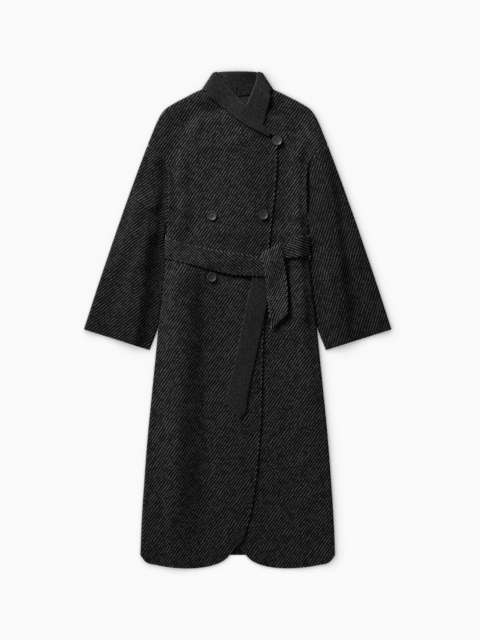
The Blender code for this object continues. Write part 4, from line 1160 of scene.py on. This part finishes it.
@dataclass
class Collar:
    """The two collar halves, each one strip folded over its roll line from the centre back to the top button."""

    lay: Lay
    finishes: Finishes
    roll_radius: float = 0.002
    turn_radius: float = 0.008
    turn_neck_radius: float = 0.0048
    sections: int = 141
    stand_cells: int = 10
    roll_cells: int = 8
    fall_cells: int = 14
    fall_off: float = 0.0025
    off_end: float = 0.515
    off_run: float = 0.030
    free_bulge: float = 0.0008

    def rows(self, rolls: tuple[Roll, ...]) -> Array:
        """Rows from the centre back: neck seam, roll and free edge in plan, turn and height."""
        rows = []
        for roll, neck, fall, stand in zip(BACK_ROLL, BACK_NECK, BACK_FALL, BACK_STAND):
            rows.append((*neck, roll.out, roll.y - self.roll_radius - self.lay.cloth / 2, *fall, 0.0, 1.0, stand))
        for angle in TURN_ANGLES:
            swing = np.sin(np.radians(angle))
            neck = np.array(TURN_NECK) + swing * self.turn_neck_radius * np.array(TURN_OUT)
            fall = np.array(TURN_FALL) + swing * (self.turn_radius + self.roll_radius) * np.array(TURN_OUT)
            roll = np.array(TURN_ROLL) + swing * self.turn_radius * np.array(TURN_ROLL_OUT)
            rows.append((*neck, *roll, *fall, angle, 1.0, 0.0))
        for r in rolls:
            roll, fall = np.array([r.out, r.y]), np.array([r.fall_out, r.fall_y])
            down = (fall - roll) / np.linalg.norm(fall - roll)
            neck = roll + (fall - roll) * r.stand_share
            edge = roll + down * (self.roll_radius + self.lay.cloth / 2)
            rows.append((*neck, *edge, *fall, 180.0, r.height_share, 0.0))
        table = np.array(rows)
        path = np.column_stack([table[:, 2:4], np.radians(table[:, 6]) * self.turn_radius])
        return through(rows, self.sections, chords(path))

    def grid(self, rows: Array, side: Side) -> Array:
        """Points of every section, from the neck seam up the stand, over the roll and down the fall.

        Args:
            rows: The sections, as rows of the collar.
            side: The coat's side that they lie on.

        Returns:
            The points, one row for each section.
        """
        neck, roll, fall, share = rows[:, 0:2], rows[:, 2:4], rows[:, 4:6], rows[:, 7]
        turn = np.radians(np.clip(rows[:, 6], 0.0, 180.0))
        rise = (1.0 - np.cos(turn)) / 2
        plan = np.stack([neck, roll, fall])
        neck_z, roll_z, fall_z = self.lay.front(plan[..., 0] * side.value, plan[..., 1], side)
        turned = self.lay.cloth / 2 + self.roll_radius + 2 * self.turn_radius * rise + rows[:, 8]
        roll_z = turned * share + (roll_z + self.roll_radius) * (1.0 - share)
        neck_z = (self.lay.cloth / 2 + self.lay.neck_lift) * (1.0 - rise) + neck_z * rise
        off = self.fall_off * (soft((fall[:, 1] - self.off_end) / self.off_run) if side is Side.LEFT else 1.0)
        fall_z = self.lay.cloth / 2 * (1.0 - rise) + (fall_z + self.lay.layer + off) * rise
        length = np.linalg.norm(fall - roll, axis=1)
        down = (fall - roll) / length[:, None]
        normal = np.column_stack([-down[:, 1] * np.sin(turn), down[:, 0] * np.sin(turn), -np.cos(turn)])[:, None]
        centre = np.column_stack([roll, roll_z])[:, None]
        back_up = np.column_stack([-down, np.zeros(len(rows))])[:, None]
        inner, outer = centre - normal * self.roll_radius, centre + normal * self.roll_radius
        share_up = np.linspace(1.0, 0.0, self.stand_cells + 1)[:-1, None]
        stand = inner + (np.column_stack([neck, neck_z])[:, None] - inner) * share_up
        bend = np.linspace(0.0, np.pi, self.roll_cells + 1)[:, None]
        over = centre + self.roll_radius * (back_up * np.sin(bend) - normal * np.cos(bend))
        share_down = np.linspace(0.0, 1.0, self.fall_cells + 1)[1:]
        drop = outer + (np.column_stack([fall, fall_z])[:, None] - outer) * share_down[:, None]
        stand_share = (np.linalg.norm(neck - roll, axis=1) / length)[:, None]
        on_stand = inner[..., 2] + (neck_z[:, None] - inner[..., 2]) * share_down / stand_share
        on_front = self.lay.front(drop[..., 0] * side.value, drop[..., 1], side)
        under = np.where(share_down > stand_share, on_front, on_stand)
        drop[..., 2] += rise[:, None] * np.maximum(0.0, under + self.lay.layer - drop[..., 2])
        return np.concatenate([stand, over, drop], axis=1) * [side.value, 1.0, 1.0]

    def half(self, side: Side, rolls: tuple[Roll, ...]) -> None:
        """Builds one half."""
        grid = self.grid(self.rows(rolls), side)
        across = np.linalg.norm(np.diff(grid, axis=1), axis=-1)
        width = np.hstack([np.zeros((len(grid), 1)), np.cumsum(across, axis=1)])
        middle = self.stand_cells + self.roll_cells // 2
        length = chords(grid[:, middle])[:, None] + np.zeros_like(width)
        grain = np.stack([width - width[:, [middle]], length], axis=-1)
        name = f"collar_{side.name.lower()}"
        fall = slice(-self.fall_cells // 2, None)
        Sheet(f"cloth_{name}", grid, grain, self.finishes.felt, self.finishes.twill, look_at=fall,
              bulge=(0.0, 0.0, 0.0, self.free_bulge)).build(name, "wool_felt", [f"front_{side.name.lower()}", "back"])

    def build(self) -> None:
        """Builds both halves."""
        self.half(Side.LEFT, COLLAR_LEFT)
        self.half(Side.RIGHT, COLLAR_RIGHT)


@dataclass
class Belt:
    """The tie belt: behind the waist, round both sides to the knot, and its two ends."""

    lay: Lay
    finishes: Finishes
    knot: Point = Point(0.066, 0.128)
    knot_rise: float = 0.0068
    knot_spread: float = 0.030
    pile_full: float = 0.075
    pile_none: float = 0.140
    tail_back: float = 0.012
    tail_lean: float = 0.006
    tail_full: float = 0.080
    tail_none: float = 0.165
    ease: float = 0.0006
    cells: int = 14
    long_cells: int = 70
    back_cells: int = 60
    turn_cells: int = 10
    turn_end_deg: float = 66.0
    bend_cells: int = 10
    felt_inset: float = 0.0020
    free_bulge: float = 0.0010

    def plan(self, rows: Any) -> Array:
        """Plan points of a belt length: rows along it, cells across from its first edge to its second."""
        table = through(rows, self.long_cells + 1)[:, None]
        share = np.linspace(0.0, 1.0, self.cells + 1)[None, :, None]
        return table[..., :2] * (1 - share) + table[..., 2:] * share

    def heap(self, x: Array, y: Array) -> Array:
        """Extra height of the layers piled at the knot."""
        away = (x - self.knot.out) ** 2 + (y - self.knot.y) ** 2
        return self.knot_rise * np.exp(-away / (2 * self.knot_spread**2))

    def piled(self, x: Array, y: Array) -> Array:
        """1 at the knot, 0 away from it."""
        reach = np.hypot(x - self.knot.out, y - self.knot.y)
        return soft((self.pile_none - reach) / (self.pile_none - self.pile_full))

    def turn(self, rows: Any, upward: int) -> Array:
        """The belt round the coat's side edge, from half height to the top (1) or to the floor (-1)."""
        first, lay = rows[0], self.lay
        side = np.sign(first.x0)
        edge = np.interp(-(first.y0 + first.y1) / 2, -SIDE_LINE[:, 1], SIDE_LINE[:, 0]) - lay.fold
        ys = np.linspace(first.y0, first.y1, self.cells + 1)
        made = []
        for turn in np.radians(np.linspace(0.0, self.turn_end_deg, self.turn_cells)):
            out = edge + (lay.fold + lay.layer) * np.cos(turn)
            tall = lay.fold + lay.layer if upward > 0 else lay.fold - lay.seam / 2
            z = lay.edge_z + upward * (lay.seam / 2 + tall * np.sin(turn))
            made.append(np.stack([np.full_like(ys, side * out), ys, np.full_like(ys, z)], axis=1))
        return np.array(made)

    def sheet(self, name: str, grid: Array, facing: Facing, ends: tuple[float, float], felt: bool = False,
              warp_down: bool = False) -> None:
        """Builds one length.

        Args:
            name: The CAD node that it stands for.
            grid: Its points, rows along it.
            facing: Which way its outer face looks.
            ends: How far the first and last row's edges stand out.
            felt: Whether the reverse of the cloth is outside.
            warp_down: Whether its rows run down the warp.
        """
        middle = self.cells // 2
        across = np.linalg.norm(np.diff(grid, axis=1), axis=-1)
        width = np.hstack([np.zeros((len(grid), 1)), np.cumsum(across, axis=1)])
        length = (-1.0 if warp_down else 1.0) * chords(grid[:, middle])[:, None] + np.zeros_like(width)
        outer, inner, slot = self.finishes.twill, self.finishes.felt, "wool_twill"
        # The short end wears the lighter copy of the twill: painted light
        if name == "belt_tail_short":
            outer = self.finishes.end_twill_painted_light
        if felt:
            outer, inner, slot = inner, outer, "wool_felt"
            width = width + self.felt_inset
        else:
            width = width - width[:, [middle]]
        rests_on = ["floor"] if name == "belt_back" else ["front_right", "front_left"]
        grain = np.stack([width, length], axis=-1)
        cut = np.ptp(grain.reshape(-1, 2), axis=0)
        if name == "belt_front_left":
            grain = self.straight(grid)
        Sheet(f"cloth_{name}", grid, grain, outer, inner, facing=facing, cut=cut,
              bulge=(*ends, self.free_bulge, self.free_bulge)).build(name, slot, rests_on)

    def straight(self, grid: Array) -> Array:
        """Map of a length that tapers: places across and along the line between its ends."""
        middle = grid[:, self.cells // 2, :2]
        along = (middle[0] - middle[-1]) / np.linalg.norm(middle[0] - middle[-1])
        run = grid[..., :2] - middle[0]
        return np.stack([run @ np.array([along[1], -along[0]]), run @ along], axis=-1)

    def run(self, name: str, rows: Any, side: Side) -> None:
        """Builds a length from the coat's side edge to the knot."""
        edge = np.interp(-rows[0].y0, -SIDE_LINE[:, 1], SIDE_LINE[:, 0]) - self.lay.fold
        first = Strip(side.value * edge, rows[0].y0, side.value * edge, rows[0].y1)
        plan = self.plan([first, *rows[1:]])
        x, y = plan[..., 0], plan[..., 1]
        z = self.lay.top(x, y) + self.lay.layer * (1.0 + self.piled(x, y)) + self.ease + self.heap(x, y)
        grid = np.concatenate([self.turn(rows, 1), np.stack([x, y, z], axis=-1)])
        self.sheet(name, grid, Facing.UP, (0.0, 0.0), warp_down=side is Side.LEFT)

    def behind(self) -> None:
        """Builds the length behind the waist, under the back, turned up at both sides."""
        right, left = self.turn(BELT_RIGHT, -1), self.turn(BELT_LEFT, -1)
        ends = [right[-1].copy(), left[-1].copy()]
        for end in ends:
            end[:, 0] -= np.sign(end[:, 0]) * (self.lay.fold + self.lay.layer) / 2
        share = np.linspace(0.0, 1.0, self.back_cells + 1)[:, None, None]
        floor = ends[0][None] * (1 - share) + ends[1][None] * share
        floor[..., 2] = self.lay.cloth / 2
        self.sheet("belt_back", np.concatenate([right, floor, left[::-1]]), Facing.DOWN, (0.0, 0.0))

    def short_end(self) -> None:
        """Builds the short end, passed up behind the belt, over it and down in front."""
        plan = self.plan(TAIL_SHORT)
        x, y = plan[..., 0], plan[..., 1]
        reach = np.hypot(x - self.knot.out, y - self.knot.y)
        piled = soft((self.tail_none - reach) / (self.tail_none - self.tail_full))
        layers = self.lay.layer * (1.0 + 2.0 * piled)
        lean = self.tail_lean * np.linspace(0.0, 1.0, self.cells + 1) * (1.0 - self.piled(x, y))
        leg = np.stack([x, y, self.lay.top(x, y) + layers + lean + 2 * self.ease + self.heap(x, y)], axis=-1)
        first, down = leg[0], leg[1] - leg[0]
        down[:, 2] = 0.0
        down /= np.linalg.norm(down, axis=1)[:, None]
        up = np.array([0.0, 0.0, 1.0])
        layer = self.lay.layer
        hidden = [first + down * self.tail_back - 2 * layer * up]
        for bend in np.linspace(0.0, np.pi, self.bend_cells + 1)[:-1]:
            hidden.append(first - layer * up - layer * (down * np.sin(bend) + up * np.cos(bend)))
        self.sheet("belt_tail_short", np.concatenate([hidden, leg]), Facing.UP, (0.0, self.free_bulge),
                   warp_down=True)

    def long_end(self) -> None:
        """Builds the long end, out from under the belt and down over the right front, reverse side up."""
        plan = self.plan(TAIL_LONG)
        x, y = plan[..., 0], plan[..., 1]
        z = self.lay.top(x, y) + self.lay.layer + self.heap(x, y)
        self.sheet("belt_tail_long", np.stack([x, y, z], axis=-1), Facing.UP, (0.0, self.free_bulge), felt=True)

    def build(self) -> None:
        """Builds the five lengths."""
        self.behind()
        self.run("belt_front_right", BELT_RIGHT, Side.RIGHT)
        self.run("belt_front_left", BELT_LEFT, Side.LEFT)
        self.long_end()
        self.short_end()


@dataclass
class Buttons:
    """The horn buttons on the right front, each turned with a raised rim and sewn through its holes."""

    lay: Lay
    finishes: Finishes
    radius: float = 0.012
    tall: float = 0.0036
    rim: float = 0.0017
    bowl: float = 0.0026
    dish: float = 0.0019
    edge_round: float = 0.0007
    gap: float = 0.0007
    hole_radius: float = 0.00085
    hole_place: float = 0.0019
    thread_radius: float = 0.00045
    probes: int = 8

    def disc(self) -> bpy.types.Object:
        """Models one button at the origin from a cylinder: rim inset, dish pressed in, edges rounded, holes bored."""
        bpy.ops.object.select_all(action="DESELECT")
        bpy.ops.mesh.primitive_cylinder_add(vertices=40, radius=self.radius, depth=self.tall,
                                            location=(0.0, 0.0, self.tall / 2))
        made = bpy.context.object
        bpy.ops.object.mode_set(mode="EDIT")
        bpy.ops.mesh.select_mode(type="FACE")
        self.pick_top(made)
        bpy.ops.mesh.inset(thickness=self.rim, depth=0.0)
        bpy.ops.mesh.inset(thickness=self.bowl, depth=-self.dish)
        bpy.ops.object.mode_set(mode="OBJECT")
        rounded = made.modifiers.new("Round", "BEVEL")
        rounded.width, rounded.segments, rounded.limit_method = self.edge_round, 3, "ANGLE"
        rounded.angle_limit = math.radians(20.0)
        bpy.ops.object.modifier_apply(modifier=rounded.name)
        for across, along_y in ((1, 1), (1, -1), (-1, 1), (-1, -1)):
            self.bore(made, across * self.hole_place, along_y * self.hole_place)
        return made

    def pick_top(self, made: bpy.types.Object) -> None:
        """Selects the upper face of the button that is being edited."""
        bpy.ops.mesh.select_all(action="DESELECT")
        bpy.ops.object.mode_set(mode="OBJECT")
        for face in made.data.polygons:
            face.select = face.normal.z > 0.9
        bpy.ops.object.mode_set(mode="EDIT")

    def bore(self, made: bpy.types.Object, x: float, y: float) -> None:
        """Bores one thread hole through the button."""
        bpy.ops.object.select_all(action="DESELECT")
        bpy.ops.mesh.primitive_cylinder_add(vertices=14, radius=self.hole_radius, depth=4 * self.tall,
                                            location=(x, y, self.tall / 2))
        drill = bpy.context.object
        bpy.context.view_layer.objects.active = made
        cut = made.modifiers.new("Hole", "BOOLEAN")
        cut.object, cut.operation, cut.solver = drill, "DIFFERENCE", "EXACT"
        bpy.ops.object.modifier_apply(modifier=cut.name)
        bpy.data.objects.remove(drill, do_unlink=True)

    def stitch(self, y: float) -> bpy.types.Object:
        """Models one stitch over a pair of holes: a sphere drawn out, its middle lifted."""
        bpy.ops.object.select_all(action="DESELECT")
        floor_z = self.tall - self.dish
        bpy.ops.mesh.primitive_uv_sphere_add(segments=12, ring_count=8, radius=self.thread_radius,
                                             location=(0.0, y, floor_z + self.thread_radius / 2))
        made = bpy.context.object
        made.scale = ((self.hole_place + self.hole_radius / 2) / self.thread_radius, 1.6, 1.1)
        bpy.ops.object.transform_apply(location=True, rotation=True, scale=True)
        return made

    def place(self, x: float, y: float) -> Matrix:
        """Where a button lies on the front, tilted with it."""
        ring = np.linspace(0.0, 2 * np.pi, self.probes, endpoint=False)
        toward = np.stack([np.cos(ring), np.sin(ring)])
        heights = self.lay.front(x + self.radius * toward[0], y + self.radius * toward[1], Side.RIGHT)
        slope_x, slope_y = (heights * toward).mean(axis=1) * 2 / self.radius
        normal = Vector((-slope_x, -slope_y, 1.0)).normalized()
        over = heights - heights.mean() - self.radius * (slope_x * toward[0] + slope_y * toward[1])
        seat = Vector((x, y, float(heights.mean() + over.max()))) + normal * (self.lay.cloth / 2 + self.gap)
        return Matrix.Translation(seat) @ normal.to_track_quat("Z", "Y").to_matrix().to_4x4()

    def build(self) -> None:
        """Models one button and copies it to every place."""
        pattern = self.disc()
        pattern.data.materials.append(self.finishes.horn)
        stitches = [self.stitch(self.hole_place), self.stitch(-self.hole_place)]
        for stitch in stitches:
            stitch.data.materials.append(self.finishes.thread)
        bpy.ops.object.select_all(action="DESELECT")
        for piece in (pattern, *stitches):
            piece.select_set(True)
        bpy.context.view_layer.objects.active = pattern
        bpy.ops.object.join()
        bpy.ops.object.transform_apply(location=True, rotation=True, scale=True)
        bpy.ops.object.shade_smooth_by_angle(angle=math.radians(35.0))
        for name, at in BUTTONS.items():
            mesh = pattern.data.copy()
            mesh.transform(self.place(at.out, at.y))
            made = bpy.data.objects.new(f"horn_{name}", mesh)
            bpy.context.scene.collection.objects.link(made)
            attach(made, "root")
            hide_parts(name)
            log.info("%s: %.0f mm across", made.name, 2000 * self.radius)
        bpy.data.objects.remove(pattern, do_unlink=True)


@dataclass
class Studio:
    """Paper floor, soft light from the upper left and the camera straight above."""

    finishes: Finishes
    floor_size: float = 14.0
    floor_gap: float = 0.0003
    camera_height: float = 5.0
    view_x: float = 0.0058
    view_tall: float = 1.6128
    sensor: float = 36.0
    sky: float = 0.15
    key_watts: float = 141.0
    key_size: float = 1.2
    wash: float = 2.97
    wash_width_deg: float = 100.0
    key_at: tuple[float, float, float] = (-1.69, 2.37, 1.42)
    wash_from: tuple[float, float, float] = (-0.30, 0.22, 0.93)

    def build(self) -> None:
        """Builds floor, light and camera."""
        bpy.ops.object.select_all(action="DESELECT")
        bpy.ops.mesh.primitive_plane_add(size=self.floor_size, location=(0.0, 0.0, -self.floor_gap))
        floor = bpy.context.object
        floor.name = "floor"
        floor.data.materials.append(self.finishes.paper)
        scene = bpy.context.scene
        world = bpy.data.worlds.new("Studio")
        world.use_nodes = True
        scene.world = world
        sky = world.node_tree.nodes["Background"]
        sky.inputs["Color"].default_value = (1.0, 1.0, 1.0, 1.0)
        sky.inputs["Strength"].default_value = self.sky
        key = bpy.data.lights.new("Key", "AREA")
        key.energy, key.size, key.shape = self.key_watts, self.key_size, "DISK"
        lamp = bpy.data.objects.new("Key", key)
        lamp.location = self.key_at
        lamp.rotation_euler = Vector(self.key_at).to_track_quat("Z", "Y").to_euler()
        dark = bpy.data.collections.new("Not lit by the key")
        dark.objects.link(floor)
        dark.collection_objects[0].light_linking.link_state = "EXCLUDE"
        lamp.light_linking.receiver_collection = dark
        scene.collection.objects.link(lamp)
        wash = bpy.data.lights.new("Floor wash", "SUN")
        wash.energy, wash.angle = self.wash, math.radians(self.wash_width_deg)
        washer = bpy.data.objects.new("Floor wash", wash)
        washer.rotation_euler = Vector(self.wash_from).to_track_quat("Z", "Y").to_euler()
        lit = bpy.data.collections.new("Lit by the floor wash")
        lit.objects.link(floor)
        washer.light_linking.receiver_collection = lit
        scene.collection.objects.link(washer)
        lens = bpy.data.cameras.new("Camera")
        lens.sensor_width = self.sensor
        lens.lens = self.sensor * self.camera_height / self.view_tall
        camera = bpy.data.objects.new("Camera", lens)
        camera.location = (self.view_x, 0.0, self.camera_height)
        scene.collection.objects.link(camera)
        scene.camera = camera
        scene.view_settings.view_transform = "Standard"


def main() -> None:
    """Builds the coat and the studio in order."""
    logging.basicConfig(level=logging.INFO, format="%(message)s")
    lay, finishes = Lay(), Finishes()
    Studio(finishes).build()
    body = Body(lay, finishes)
    body.build()
    Sleeves(lay, finishes, body).build()
    Collar(lay, finishes).build()
    Belt(lay, finishes).build()
    Buttons(lay, finishes).build()


if __name__ == "__main__":
    main()
